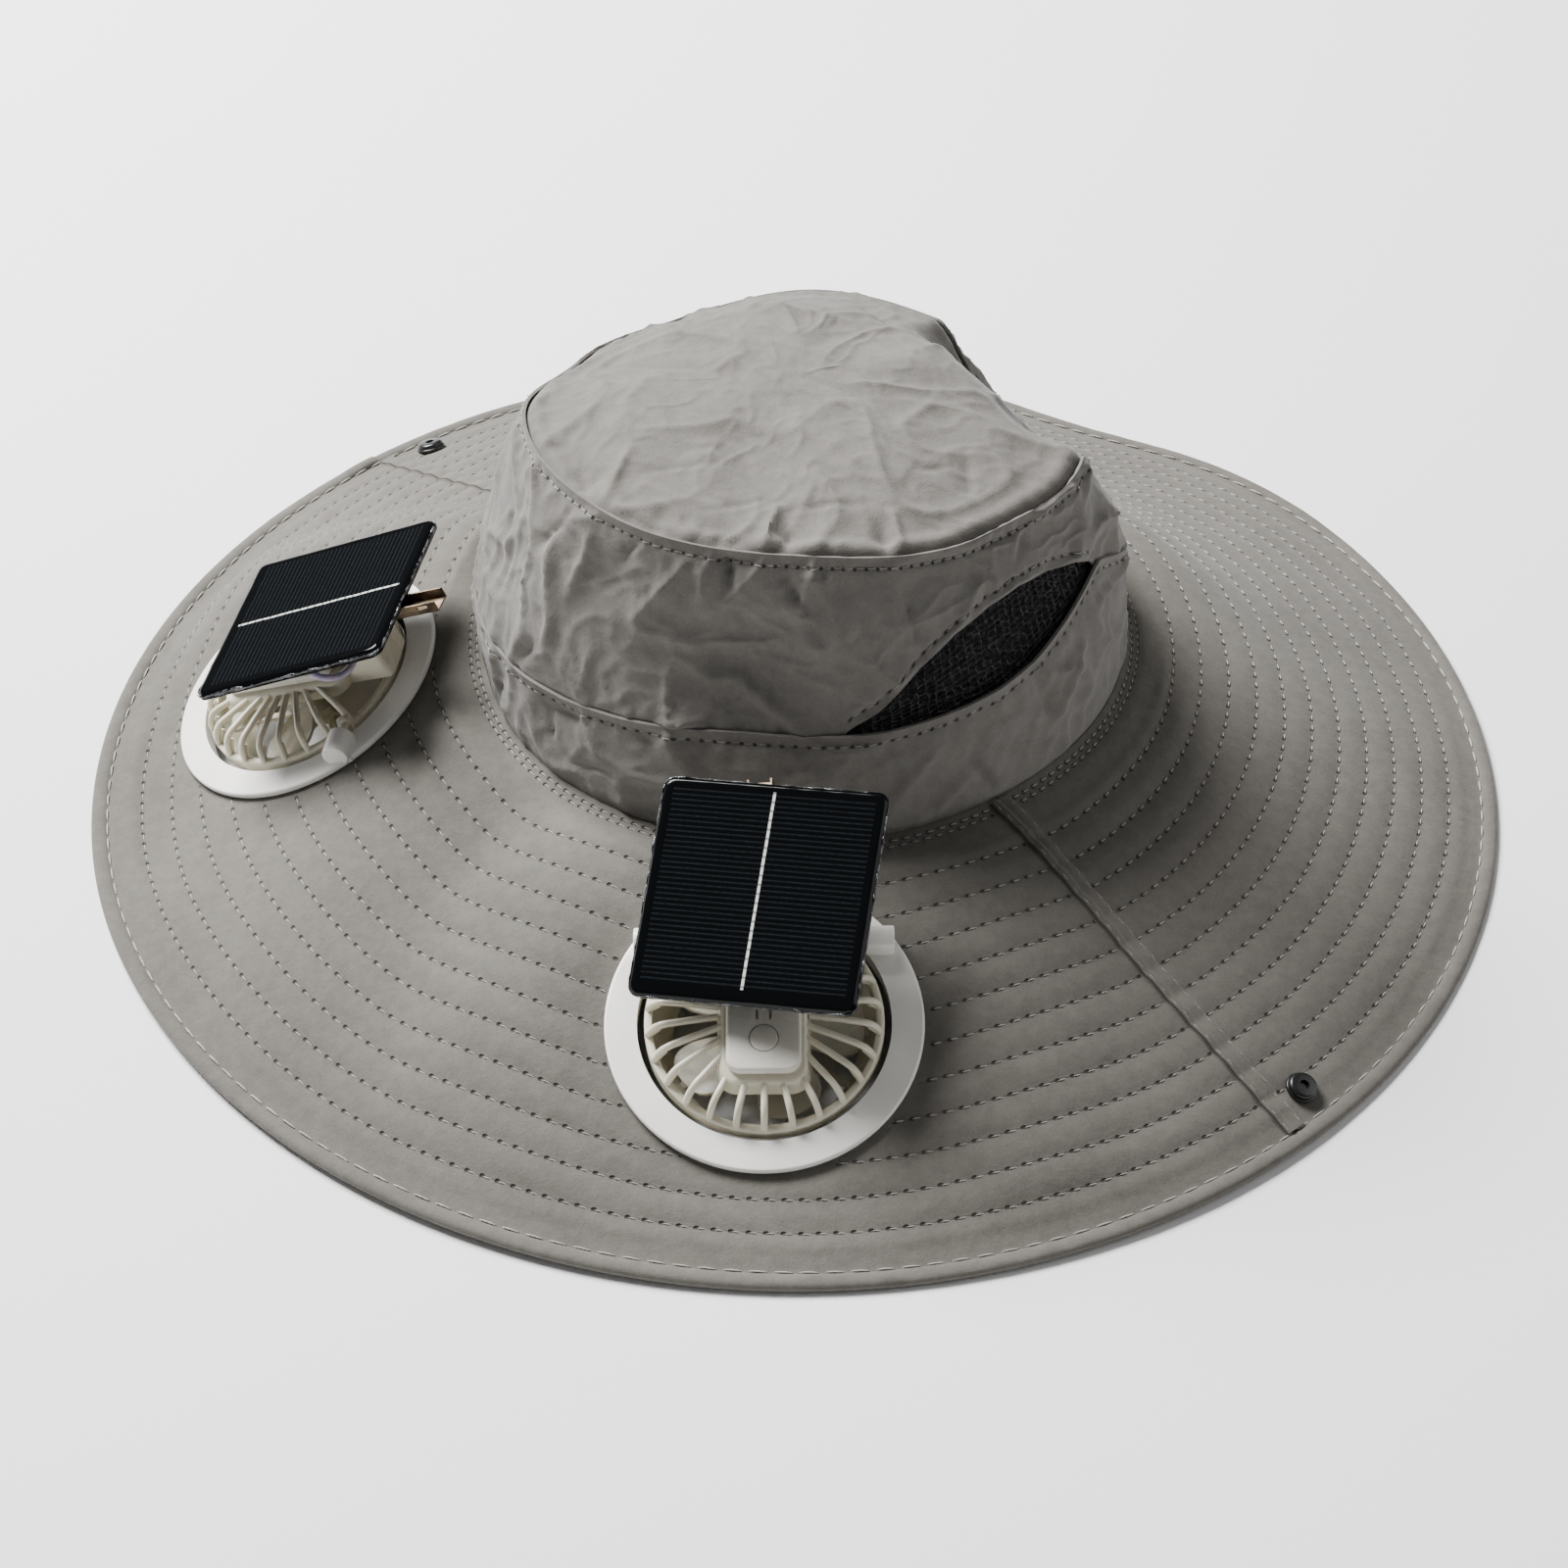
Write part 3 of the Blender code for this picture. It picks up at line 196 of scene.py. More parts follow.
# cut of the wall by its turn from the face: where the band ends and where the side begins
wallCuts = [(0, 0.575, 0.575), (28, 0.595, 0.595), (52, 0.612, 0.612), (60, 0.615, 0.665),
            (68, 0.621, 0.742), (76, 0.629, 0.793), (84, 0.640, 0.822), (92, 0.660, 0.832),
            (100, 0.692, 0.826), (108, 0.722, 0.798), (116, 0.750, 0.750), (136, 0.640, 0.640),
            (180, 0.560, 0.560)]
seamRight = (304.6, 311.6)  # azimuth at the crown and at the edge
seamLeft = (137.0, 131.0)


def fanFrame(name):
    joints = {joint["name"]: joint for joint in frame["joints"]}
    up = Vector(joints[name + "_spin"]["axis"]).normalized()
    side = Vector(joints[name + "_tilt"]["axis"]).normalized()
    crownward = up.cross(side).normalized()
    turned = Matrix((side, crownward, up)).transposed().to_4x4()
    return Matrix.Translation(joints[name + "_spin"]["pos_m"]) @ turned


fanFrames = {name: fanFrame(name) for name in ("front", "left")}


def risen(rows, azimuth):
    return sum(row[2] * bell(angleFrom(azimuth, row[0]), row[1]) for row in rows)


def swollen(rows, azimuth, across):
    return sum(row[4] * bell(angleFrom(azimuth, row[0]), row[2]) * bell(across - row[1], row[3])
               for row in rows)


def aroundRows(rows, azimuth, column):
    stops = np.array([(row[0] - rows[0][0]) % 360.0 for row in rows] + [360.0])
    values = np.array([row[column] for row in rows] + [rows[0][column]])
    place = (azimuth - rows[0][0]) % 360.0
    spot = np.clip(np.searchsorted(stops, place, side="right") - 1, 0, len(rows) - 1)
    share = eased((place - stops[spot]) / (stops[spot + 1] - stops[spot]))
    return values[spot] * (1 - share) + values[spot + 1] * share


def headPlan(azimuth, reach=1.0):
    turn = np.radians(azimuth)
    return np.stack([hat["crownOffset"][0] + hat["headLength"] * reach * np.cos(turn),
                     hat["crownOffset"][1] + hat["headWidth"] * reach * np.sin(turn)], -1)


def brimPlan(azimuth, across):
    turn = np.radians(azimuth)
    reach = hat["brimRadius"] - hat["edgePull"] * risen(edgePulls, azimuth)
    edge = np.stack([reach * np.cos(turn), reach * np.sin(turn)], -1)
    inner = headPlan(azimuth)
    return inner + (edge - inner) * across[..., None]


def seamHeight(azimuth):
    return hat["seamHeight"] + hat["seamRise"] * risen(seamRises, azimuth)


bindingStart = 1.0 - hat["bindingWidth"] / (hat["brimRadius"] - hat["headLength"])


def brimBase(azimuth, across):  # the brim's plain upper side
    edge = hat["edgeRise"] * risen(edgeRises, azimuth)
    edge = edge + (hat["bindingThickness"] + hat["brimWall"]) / 2 - hat["settle"]
    height = edge + (seamHeight(azimuth) - edge) * np.maximum(1.0 - across / hat["restShare"], 0.0)
    height = height + hat["foldDepth"] * swollen(brimSwells, azimuth, across)
    plan = brimPlan(azimuth, across)
    for matrix in fanFrames.values():
        up = matrix.col[2].to_3d()
        place = matrix.col[3].to_3d()
        offset = plan - np.array([place.x, place.y])
        plane = place.z - (up.x * offset[..., 0] + up.y * offset[..., 1]) / up.z
        flat = hat["flatShare"] * hat["ringRadius"]
        slope = hat["easeShare"] * hat["ringRadius"] - flat
        hold = 1 - eased((np.hypot(offset[..., 0], offset[..., 1]) - flat) / slope)
        hold = hold * eased(across / hat["jointShare"]) * eased((bindingStart - across) / hat["hemShare"])
        height = height + (plane - height) * hold
    return np.concatenate([plan, height[..., None]], -1)


def brimNormal(azimuth, across):
    along = brimBase(azimuth + 0.6, across) - brimBase(azimuth - 0.6, across)
    out = brimBase(azimuth, across + 0.006) - brimBase(azimuth, across - 0.006)
    normal = np.cross(out, along)
    return normal / np.linalg.norm(normal, axis=-1, keepdims=True)


def fanDistance(points):  # in the plane of the nearest fan
    nearest = None
    for matrix in fanFrames.values():
        back = np.array(matrix.inverted())
        local = points @ back[:3, :3].T + back[:3, 3]
        reach = np.hypot(local[..., 0], local[..., 1])
        nearest = reach if nearest is None else np.minimum(nearest, reach)
    return nearest


# rows are counted from the crown; start and step are shares of the way across, the rest metres
quilt = {"rows": 11, "start": 0.058, "step": 0.074, "pitch": 0.0047, "puff": 0.00040, "groove": 0.00028,
         "grooveWidth": 0.09, "pucker": 0.00014, "puckerWidth": 0.28, "firstRow": 0.45, "lastRow": 11.75,
         "wave": 0.0007, "fanClear": 0.0445}
doubleRows = {"places": (0.020, 0.036), "pitch": 0.0036, "depth": 0.0004, "width": 0.007}


def brimSurface(azimuth, across):  # with quilting, puckers and slow waves
    base = brimBase(azimuth, across)
    row = (across - quilt["start"]) / quilt["step"]
    offRow = np.abs((row + 0.5) % 1.0 - 0.5)
    quilted = eased((row - quilt["firstRow"]) / 0.3) * eased((quilt["lastRow"] - row) / 0.4)
    groove = -np.exp(-(offRow / quilt["grooveWidth"]) ** 2)
    points = base * 1000
    pucker = cloudy(points / np.array([4.5, 4.5, 9.0])) * np.exp(-(offRow / quilt["puckerWidth"]) ** 2)
    slow = cloudy(points / 46.0 + 3.1) * 0.9 + cloudy(points / 19.0 + 9.7) * 0.30
    lift = quilt["puff"] * np.sin(np.pi * offRow) ** 2 + quilt["groove"] * groove + quilt["pucker"] * pucker
    lift = lift * quilted
    for place in doubleRows["places"]:
        lift = lift - doubleRows["depth"] * np.exp(-((across - place) / doubleRows["width"]) ** 2)
    lift = lift + slow * quilt["wave"] * eased((bindingStart - across) / 0.12) * eased(across / 0.08)
    clear = eased((fanDistance(base) - quilt["fanClear"]) / 0.012)
    normal = brimNormal(azimuth, across)
    return base + normal * (lift * clear)[..., None], normal


def brimReach(across):  # distance from the middle of the hat
    return hat["headLength"] + (hat["brimRadius"] - hat["headLength"]) * across


def seamAzimuth(seam, across):
    share = across * hat["brimRadius"] / brimReach(across)
    return seam[0] + (seam[1] - seam[0]) * share


def topHeight(azimuth):
    return hat["crownHeight"] * aroundRows(topSeam, azimuth, 2)


def cutHeight(azimuth, column):
    turn = np.abs(angleFrom(azimuth, hat["faceAzimuth"]))
    stops = [row[0] for row in wallCuts]
    share = np.interp(turn, stops, [row[column] for row in wallCuts])
    return hat["crownHeight"] * share - hat["bandSag"] * risen(bandSags, azimuth)


def wallBase(azimuth, height, out=0.0):
    bottom = seamHeight(azimuth)
    level = np.maximum((height - bottom) / (topHeight(azimuth) - bottom), 0.0)
    share = (level ** hat["crownLean"])[..., None]
    plan = headPlan(azimuth) * (1 - share) + headPlan(azimuth, aroundRows(topSeam, azimuth, 1)) * share
    dent = swollen(wallDents, azimuth, level) * eased(4 * level) * eased(4 * (1 - level))
    shift = out - hat["foldDepth"] * dent
    turn = np.radians(azimuth)
    return np.stack([plan[..., 0] + shift * np.cos(turn), plan[..., 1] + shift * np.sin(turn),
                     height + 0 * turn], -1), level


def topBase(azimuth, share):
    middle = np.array(hat["crownOffset"]) + np.array(hat["topShift"])
    seam = topHeight(azimuth)
    plan = middle + (headPlan(azimuth, aroundRows(topSeam, azimuth, 1)) - middle) * share[..., None]
    level = np.maximum(seam, hat["crownHeight"] * hat["caveLevel"])
    caved = (level - seam) * eased((share - hat["caveStart"]) / (1 - hat["caveStart"]))
    puffed = (hat["crownHeight"] + hat["crownPuff"] - level) * (1 - share * share)
    swell = hat["foldDepth"] * swollen(topSwells, azimuth, share) * eased(4 * share) * eased(4 * (1 - share))
    return np.concatenate([plan, (level + puffed - caved + swell)[..., None]], -1)


# a grid whose points are laid on a surface; its UV map keeps the way round and across
def clothGrid(name, columns, rows, place, closed=False, wall=0.0):
    deselectAll()
    bpy.ops.mesh.primitive_grid_add(x_subdivisions=columns, y_subdivisions=rows, size=1.0)
    piece = bpy.context.object
    piece.name = name
    flat = np.empty(len(piece.data.vertices) * 3)
    piece.data.vertices.foreach_get("co", flat)
    flat = flat.reshape(-1, 3)
    points = place(np.clip(flat[:, 0] + 0.5, 0, 1), np.clip(flat[:, 1] + 0.5, 0, 1))
    piece.data.vertices.foreach_set("co", points.ravel())
    piece.data.update()
    if closed:
        mergeDoubles(piece)
    if wall:
        giveWall(piece, wall)
    return piece


# Materials


def addNode(tree, kind, inputs=None, links=None, shades=(), **settings):  # shades: the stops of a ramp
    node = tree.nodes.new(kind)
    for key, value in settings.items():
        setattr(node, key, value)
    for key, value in (inputs or {}).items():
        node.inputs[key].default_value = value
    for key, source in (links or {}).items():
        tree.links.new(source, node.inputs[key])
    for index, (position, colour) in enumerate(shades):
        node.color_ramp.elements[index].position = position
        node.color_ramp.elements[index].color = hexToLinear(colour)
    return node


def newMaterial(name, **sockets):
    material = bpy.data.materials.new(name)
    material.use_nodes = True
    tree = material.node_tree
    for key, value in sockets.items():
        tree.nodes["Principled BSDF"].inputs[key.replace("_", " ")].default_value = value
    return material, tree


def feedShader(tree, **sources):  # links an output to each of the named sockets
    for key, source in sources.items():
        tree.links.new(source, tree.nodes["Principled BSDF"].inputs[key.replace("_", " ")])


# crease sets how dark the painted shade along a sewn line is
def woven(name, light, dark, crease):
    # Tightly woven polyester microfibre: matt, with a faint bloom of fibre ends and slow fading.
    # Threads are 0.2 mm, too fine to show, so the weave is drawn at 0.55 mm.
    material, tree = newMaterial(name, Roughness=0.86, Sheen_Weight=0.12, Sheen_Roughness=0.45,
                                 Specular_IOR_Level=0.22)
    place = addNode(tree, "ShaderNodeTexCoord").outputs["Object"]
    threads = addNode(tree, "ShaderNodeTexNoise", {"Scale": 1800.0, "Detail": 2.0, "Roughness": 0.6},
                      {"Vector": place})
    grain = addNode(tree, "ShaderNodeTexVoronoi", {"Scale": 1500.0}, {"Vector": place})
    slub = addNode(tree, "ShaderNodeTexNoise", {"Scale": 240.0, "Detail": 3.0, "Roughness": 0.65},
                   {"Vector": place})
    fading = addNode(tree, "ShaderNodeTexNoise", {"Scale": 26.0, "Detail": 4.0, "Roughness": 0.55},
                     {"Vector": place})
    blend = addNode(tree, "ShaderNodeMath", {1: 0.35}, {0: fading.outputs["Fac"]}, operation="MULTIPLY")
    for share, layer in ((0.40, slub), (0.35, threads)):
        blend = addNode(tree, "ShaderNodeMath", {1: share}, {0: layer.outputs["Fac"], 2: blend.outputs[0]},
                        operation="MULTIPLY_ADD")
    cloth = addNode(tree, "ShaderNodeValToRGB", links={"Fac": blend.outputs[0]},
                    shades=((0.40, dark), (0.70, light)))
    height = addNode(tree, "ShaderNodeMath", {1: 0.5},
                     {0: grain.outputs["Distance"], 2: threads.outputs["Fac"]}, operation="MULTIPLY_ADD")
    fine = addNode(tree, "ShaderNodeBump", {"Strength": 0.22, "Distance": 0.00025},
                   {"Height": height.outputs[0]})
    folds = addNode(tree, "ShaderNodeBump", {"Strength": 0.30, "Distance": 0.0008},
                    {"Height": slub.outputs["Fac"], "Normal": fine.outputs["Normal"]})
    # needle holes: U counts stitches along a row, V is the distance from the row in centimetres; holes and
    # row lines are sunk in the bump and darkened with painted shade
    sewn = addNode(tree, "ShaderNodeUVMap", uv_map="stitches")
    axes = addNode(tree, "ShaderNodeSeparateXYZ", links={"Vector": sewn.outputs["UV"]})
    beat = addNode(tree, "ShaderNodeMath", {1: 0.5}, {0: axes.outputs["X"]}, operation="ADD")
    beat = addNode(tree, "ShaderNodeMath", links={0: beat.outputs[0]}, operation="FRACT")
    beat = addNode(tree, "ShaderNodeMath", {1: 0.5}, {0: beat.outputs[0]}, operation="SUBTRACT")
    along = addNode(tree, "ShaderNodeMath", {1: 0.30}, {0: beat.outputs[0]}, operation="MULTIPLY")
    offset = addNode(tree, "ShaderNodeCombineXYZ", links={"X": along.outputs[0], "Y": axes.outputs["Y"]})
    reach = addNode(tree, "ShaderNodeVectorMath", links={0: offset.outputs[0]}, operation="LENGTH")
    hole = addNode(tree, "ShaderNodeMapRange",
                   {"From Min": 0.022, "From Max": 0.072, "To Min": 1.0, "To Max": 0.0},
                   {"Value": reach.outputs["Value"]}, interpolation_type="SMOOTHSTEP")
    line = addNode(tree, "ShaderNodeMath", links={0: axes.outputs["Y"]}, operation="ABSOLUTE")
    line = addNode(tree, "ShaderNodeMapRange",
                   {"From Min": 0.0, "From Max": 0.045, "To Min": crease, "To Max": 0.0},
                   {"Value": line.outputs[0]}, interpolation_type="SMOOTHSTEP")
    sunkAndShade = addNode(tree, "ShaderNodeMath", links={0: hole.outputs["Result"], 1: line.outputs["Result"]},
                   operation="MAXIMUM")
    # painted shade: needle holes and sewn lines are mixed towards #3b3835 in the base colour, standing in
    # for the shadow inside them
    colour = addNode(tree, "ShaderNodeMix", {7: hexToLinear("#3b3835")},
                     {0: sunkAndShade.outputs[0], 6: cloth.outputs["Color"]}, data_type="RGBA")
    holes = addNode(tree, "ShaderNodeBump", {"Strength": 0.7, "Distance": 0.0009},
                    {"Height": sunkAndShade.outputs[0], "Normal": folds.outputs["Normal"]}, invert=True)
    feedShader(tree, Base_Color=colour.outputs[2], Normal=holes.outputs["Normal"])
    return material


# the last number of each is how dark the painted shade along sewn lines is
brimCloth = woven("brimMicrofibre", "#6a6761", "#595651", 0.16)
plainCloth = woven("hemMicrofibre", "#6a6761", "#595651", 0.85)
crownCloth = woven("crownMicrofibre", "#726f6a", "#605d59", 0.14)


def sewingThread(name, dark, light):
    # Spun polyester thread, two plies at 0.5 mm, a shade lighter than the cloth with a soft shine.
    material, tree = newMaterial(name, Roughness=0.55, Sheen_Weight=0.2)
    place = addNode(tree, "ShaderNodeTexCoord").outputs["Object"]
    plies = addNode(tree, "ShaderNodeTexWave", {"Scale": 900.0, "Distortion": 2.0, "Detail": 1.0},
                    {"Vector": place}, bands_direction="DIAGONAL")
    spun = addNode(tree, "ShaderNodeValToRGB", links={"Fac": plies.outputs["Fac"]},
                   shades=((0.2, dark), (0.8, light)))
    bump = addNode(tree, "ShaderNodeBump", {"Strength": 0.5, "Distance": 0.0002},
                   {"Height": plies.outputs["Fac"]})
    feedShader(tree, Base_Color=spun.outputs["Color"], Normal=bump.outputs["Normal"])
    return material


threadPale = sewingThread("quiltingThread", "#8d8a83", "#b2afa8")
threadGrey = sewingThread("crownThread", "#7f7c76", "#a19e97")


def knittedNet():
    # Warp-knitted black polyester mesh: dull, with grey glints on the yarns painted into its colour.
    material, tree = newMaterial("warpKnitBlack", Roughness=0.62, Sheen_Weight=0.15)
    place = addNode(tree, "ShaderNodeTexCoord").outputs["Object"]
    yarn = addNode(tree, "ShaderNodeTexNoise", {"Scale": 900.0, "Detail": 2.0}, {"Vector": place})
    # painted glints: the yarn colour runs from black to grey over the noise
    glints = addNode(tree, "ShaderNodeValToRGB", links={"Fac": yarn.outputs["Fac"]},
                     shades=((0.35, "#141415"), (0.75, "#464647")))
    bump = addNode(tree, "ShaderNodeBump", {"Strength": 0.6, "Distance": 0.0003},
                   {"Height": yarn.outputs["Fac"]})
    feedShader(tree, Base_Color=glints.outputs["Color"], Normal=bump.outputs["Normal"])
    return material


netBlack = knittedNet()


def mouldedPlastic(name, light, dark, roughness, **sockets):
    # Injection moulded ABS: glossy, with a slight orange peel and a few dull rubbed patches.
    material, tree = newMaterial(name, IOR=1.52, **sockets)
    place = addNode(tree, "ShaderNodeTexCoord").outputs["Object"]
    flow = addNode(tree, "ShaderNodeTexNoise", {"Scale": 55.0, "Detail": 3.0}, {"Vector": place})
    peel = addNode(tree, "ShaderNodeTexNoise", {"Scale": 700.0, "Detail": 2.0}, {"Vector": place})
    tint = addNode(tree, "ShaderNodeValToRGB", links={"Fac": flow.outputs["Fac"]},
                   shades=((0.35, dark), (0.65, light)))
    dull = addNode(tree, "ShaderNodeMapRange", {"From Min": 0.35, "From Max": 0.75, "To Min": roughness,
                                               "To Max": roughness + 0.14}, {"Value": flow.outputs["Fac"]})
    bump = addNode(tree, "ShaderNodeBump", {"Strength": 0.10, "Distance": 0.0002},
                   {"Height": peel.outputs["Fac"]})
    feedShader(tree, Base_Color=tint.outputs["Color"], Roughness=dull.outputs["Result"],
               Normal=bump.outputs["Normal"])
    return material


ringAbs = mouldedPlastic("ringAbs", "#f6f4ee", "#efece5", 0.16)
cageAbs = mouldedPlastic("cageAbs", "#d9d4c0", "#cfc9b4", 0.22, Subsurface_Weight=0.08,
                         Subsurface_Scale=0.002)
hubAbs = mouldedPlastic("hubAbs", "#dcd8cd", "#d0ccc0", 0.24)
bladeResin = mouldedPlastic("bladeResin", "#dedacb", "#d2cdbd", 0.18, Transmission_Weight=0.35,
                            Subsurface_Weight=0.15, Subsurface_Scale=0.004)
snapResin = mouldedPlastic("snapResin", "#161616", "#0d0d0e", 0.22)


def floorPaper():
    # Seamless studio paper, matt and almost white.
    material, tree = newMaterial("studioPaper", Roughness=0.9)
    place = addNode(tree, "ShaderNodeTexCoord").outputs["Object"]
    pulp = addNode(tree, "ShaderNodeTexNoise", {"Scale": 2.2, "Detail": 2.0}, {"Vector": place})
    tint = addNode(tree, "ShaderNodeValToRGB", links={"Fac": pulp.outputs["Fac"]},
                   shades=((0.3, "#f3f3f3"), (0.7, "#f6f6f6")))
    feedShader(tree, Base_Color=tint.outputs["Color"])
    return material


print("materials ready")

# Stage, camera and light

deselectAll()
bpy.ops.mesh.primitive_plane_add(size=14.0, location=(0, 0, 0))
floor = bpy.context.object
floor.name = "studio_floor"
floor.data.materials.append(floorPaper())

lens = {"elevation": 40.9, "distance": 1.2, "aim": (-0.0031, -0.0041), "length": 90.05}
lampAim = (0, 0, 0.03)


def addCamera():
    rise = math.radians(lens["elevation"])
    data = bpy.data.cameras.new("photoCamera")
    data.lens = lens["length"]
    data.sensor_width = 36
    camera = bpy.data.objects.new("photoCamera", data)
    bpy.context.scene.collection.objects.link(camera)
    camera.location = (lens["aim"][0],
                       -lens["distance"] * math.cos(rise) + lens["aim"][1] * math.sin(rise),
                       lens["distance"] * math.sin(rise) + lens["aim"][1] * math.cos(rise))
    camera.rotation_euler = (math.radians(90 - lens["elevation"]), 0, 0)
    bpy.context.scene.camera = camera


def addLamp(name, place, size, watts):
    data = bpy.data.lights.new(name, "AREA")
    data.energy = watts
    data.size = size
    lamp = bpy.data.objects.new(name, data)
    bpy.context.scene.collection.objects.link(lamp)
    lamp.location = place
    lamp.rotation_euler = (Vector(lampAim) - Vector(place)).to_track_quat("-Z", "Y").to_euler()


addCamera()
addLamp("keyLamp", (-1.00, 0.88, 1.52), 1.00, 168)
addLamp("fillLamp", (1.7, 0.1, 1.1), 1.4, 9)
world = bpy.data.worlds.new("studioWorld")
bpy.context.scene.world = world
world.use_nodes = True
background = world.node_tree.nodes["Background"]
background.inputs["Color"].default_value = (1, 1, 1, 1)
background.inputs["Strength"].default_value = 0.16
print("stage ready")

# Stitches: one sewn stitch is modelled once, then laid along a line


def stitchShape(length, width, height, slope):
    deselectAll()
    bpy.ops.mesh.primitive_uv_sphere_add(segments=8, ring_count=6, radius=0.5)
    shape = bpy.context.object
    bpy.ops.object.mode_set(mode="EDIT")
    bpy.ops.mesh.select_all(action="SELECT")
    bpy.ops.transform.rotate(value=math.pi / 2, orient_axis="Y", center_override=(0, 0, 0))
    bpy.ops.transform.resize(value=(length, width, height), center_override=(0, 0, 0))
    bpy.ops.object.mode_set(mode="OBJECT")
    points = np.array([tuple(vertex.co) for vertex in shape.data.vertices])
    faces = [tuple(polygon.vertices) for polygon in shape.data.polygons]
    bpy.data.objects.remove(shape, do_unlink=True)
    bend = 1 - (points[:, 0] / (length / 2)) ** 2
    points[:, 2] += height * (0.25 * bend + 0.05) - slope * points[:, 0]
    return points, faces


def layStitches(name, rows, shape):  # rows of places, directions along and directions up
    places, alongs, ups = (np.concatenate(part) for part in zip(*rows))
    points, faces = shape
    alongs = alongs / np.linalg.norm(alongs, axis=-1, keepdims=True)
    ups = ups - alongs * (ups * alongs).sum(-1, keepdims=True)
    ups = ups / np.linalg.norm(ups, axis=-1, keepdims=True)
    sides = np.cross(ups, alongs)
    laid = (places[:, None, :] + alongs[:, None, :] * points[None, :, 0:1]
            + sides[:, None, :] * points[None, :, 1:2] + ups[:, None, :] * points[None, :, 2:3])
    count = len(points)
    mesh = bpy.data.meshes.new(name)
    everyFace = [tuple(corner + count * index for corner in face)
                 for index in range(len(places)) for face in faces]
    mesh.from_pydata(laid.reshape(-1, 3).tolist(), [], everyFace)
    mesh.shade_smooth()
    piece = bpy.data.objects.new(name, mesh)
    bpy.context.scene.collection.objects.link(piece)
    return piece


# Brim halves

brim = {"columns": 300, "rows": 104, "inner": 0.0025, "outer": 0.9645, "holeRadius": 0.0385,
        "sideGap": 0.0008, "threadShift": 0.33, "threadEnd": 0.0045, "threadClear": 0.0455}
rowPlaces = list(doubleRows["places"])
rowPlaces += [quilt["start"] + quilt["step"] * (row + 1) for row in range(quilt["rows"])]


def stitchCount(across, pitch):
    return round(2 * math.pi * brimReach(across) / pitch)


rowCounts = [stitchCount(place, doubleRows["pitch"] if place in doubleRows["places"] else quilt["pitch"])
             for place in rowPlaces]


def stitchMap(piece, phase, away):  # whole numbers of phase are needle holes, away is in centimetres
    sewn = piece.data.uv_layers.new(name="stitches")
    sewn.data.foreach_set("uv", np.stack([phase, away], -1).ravel())
    piece.data.uv_layers.remove(piece.data.uv_layers[0])


def gridShares(piece):
    shares = np.empty(len(piece.data.loops) * 2)
    piece.data.uv_layers[0].data.foreach_get("uv", shares)
    return shares.reshape(-1, 2)


def unsewnMap(piece):  # every point a centimetre away from a row
    turn = gridShares(piece)[:, 0]
    stitchMap(piece, turn * 0, turn * 0 + 1.0)


def halfBrim(name, first, second, *nodes):
    def spotAt(turn, outward):
        across = brim["inner"] + (brim["outer"] - brim["inner"]) * outward
        start = seamAzimuth(first, across)
        span = (seamAzimuth(second, across) - start) % 360.0
        return start + span * (brim["sideGap"] + turn * (1 - 2 * brim["sideGap"])), across

    piece = clothGrid(name, brim["columns"], brim["rows"],
                      lambda turn, outward: brimSurface(*spotAt(turn, outward))[0])
    shares = gridShares(piece)
    azimuth, across = spotAt(shares[:, 0], shares[:, 1])
    middle = across.reshape(-1, 4).mean(1)
    nearest = np.abs(middle[:, None] - np.array(rowPlaces)[None]).argmin(1).repeat(4)
    away = (across - np.array(rowPlaces)[nearest]) * (hat["brimRadius"] - hat["headLength"]) * 100
    away = np.where(fanDistance(brimBase(azimuth, across)) < hat["ringRadius"], 1.0, away)
    stitchMap(piece, azimuth / 360.0 * np.array(rowCounts)[nearest], away)
    cutFanHoles(piece)
    giveWall(piece, hat["brimWall"], 1)
    smoothShade(piece, 60)
    finish(piece, brimCloth, "hat", "cloth_brim", *nodes)
    sewn = []
    for across, count in zip(rowPlaces, rowCounts):
        low = float(seamAzimuth(first, across)) % 360.0
        wide = (float(seamAzimuth(second, across)) - low) % 360.0
        azimuth = (np.arange(count) + brim["threadShift"]) * 360.0 / count
        margin = math.degrees(brim["threadEnd"] / brimReach(across))
        turn = (azimuth - low) % 360.0
        azimuth = azimuth[(turn > margin) & (turn < wide - margin)]
        line = np.full(len(azimuth), across)
        spot, up = brimSurface(azimuth, line)
        ahead = brimSurface(azimuth + 0.5, line)[0]
        clear = fanDistance(spot) > brim["threadClear"]
        sewn.append((spot[clear], (ahead - spot)[clear], up[clear]))
    finish(layStitches(name + "_threads", sewn, quiltStitch), threadPale, "hat", "cloth_brim")


def cutFanHoles(piece):  # the flange covers the edge of each hole
    mesh = piece.data
    spots = np.empty(len(mesh.vertices) * 3)
    mesh.vertices.foreach_get("co", spots)
    inside = fanDistance(spots.reshape(-1, 3)) < brim["holeRadius"]
    if not inside.any():
        return
    pick(piece)
    mesh.polygons.foreach_set("select", np.zeros(len(mesh.polygons), bool))
    mesh.edges.foreach_set("select", np.zeros(len(mesh.edges), bool))
    bpy.context.tool_settings.mesh_select_mode = (True, False, False)
    mesh.vertices.foreach_set("select", inside)
    bpy.ops.object.mode_set(mode="EDIT")
    bpy.ops.mesh.delete(type="VERT")
    bpy.ops.object.mode_set(mode="OBJECT")


quiltStitch = stitchShape(0.0026, 0.00038, 0.00042, 0.12)
halfBrim("quilted_brim_front", seamLeft, seamRight, "brim_front")
halfBrim("quilted_brim_back", seamRight, seamLeft, "brim_back")
print("brim quilted")

# The rolled edge round the brim, with its long topstitch

roll = {"columns": 720, "sides": 16, "inner": 0.957, "halfHeight": 0.0017, "pitch": 0.0068, "row": 0.9585,
        "overlap": (131.5, 137.5), "step": 0.0009, "stitchLift": 0.0003}


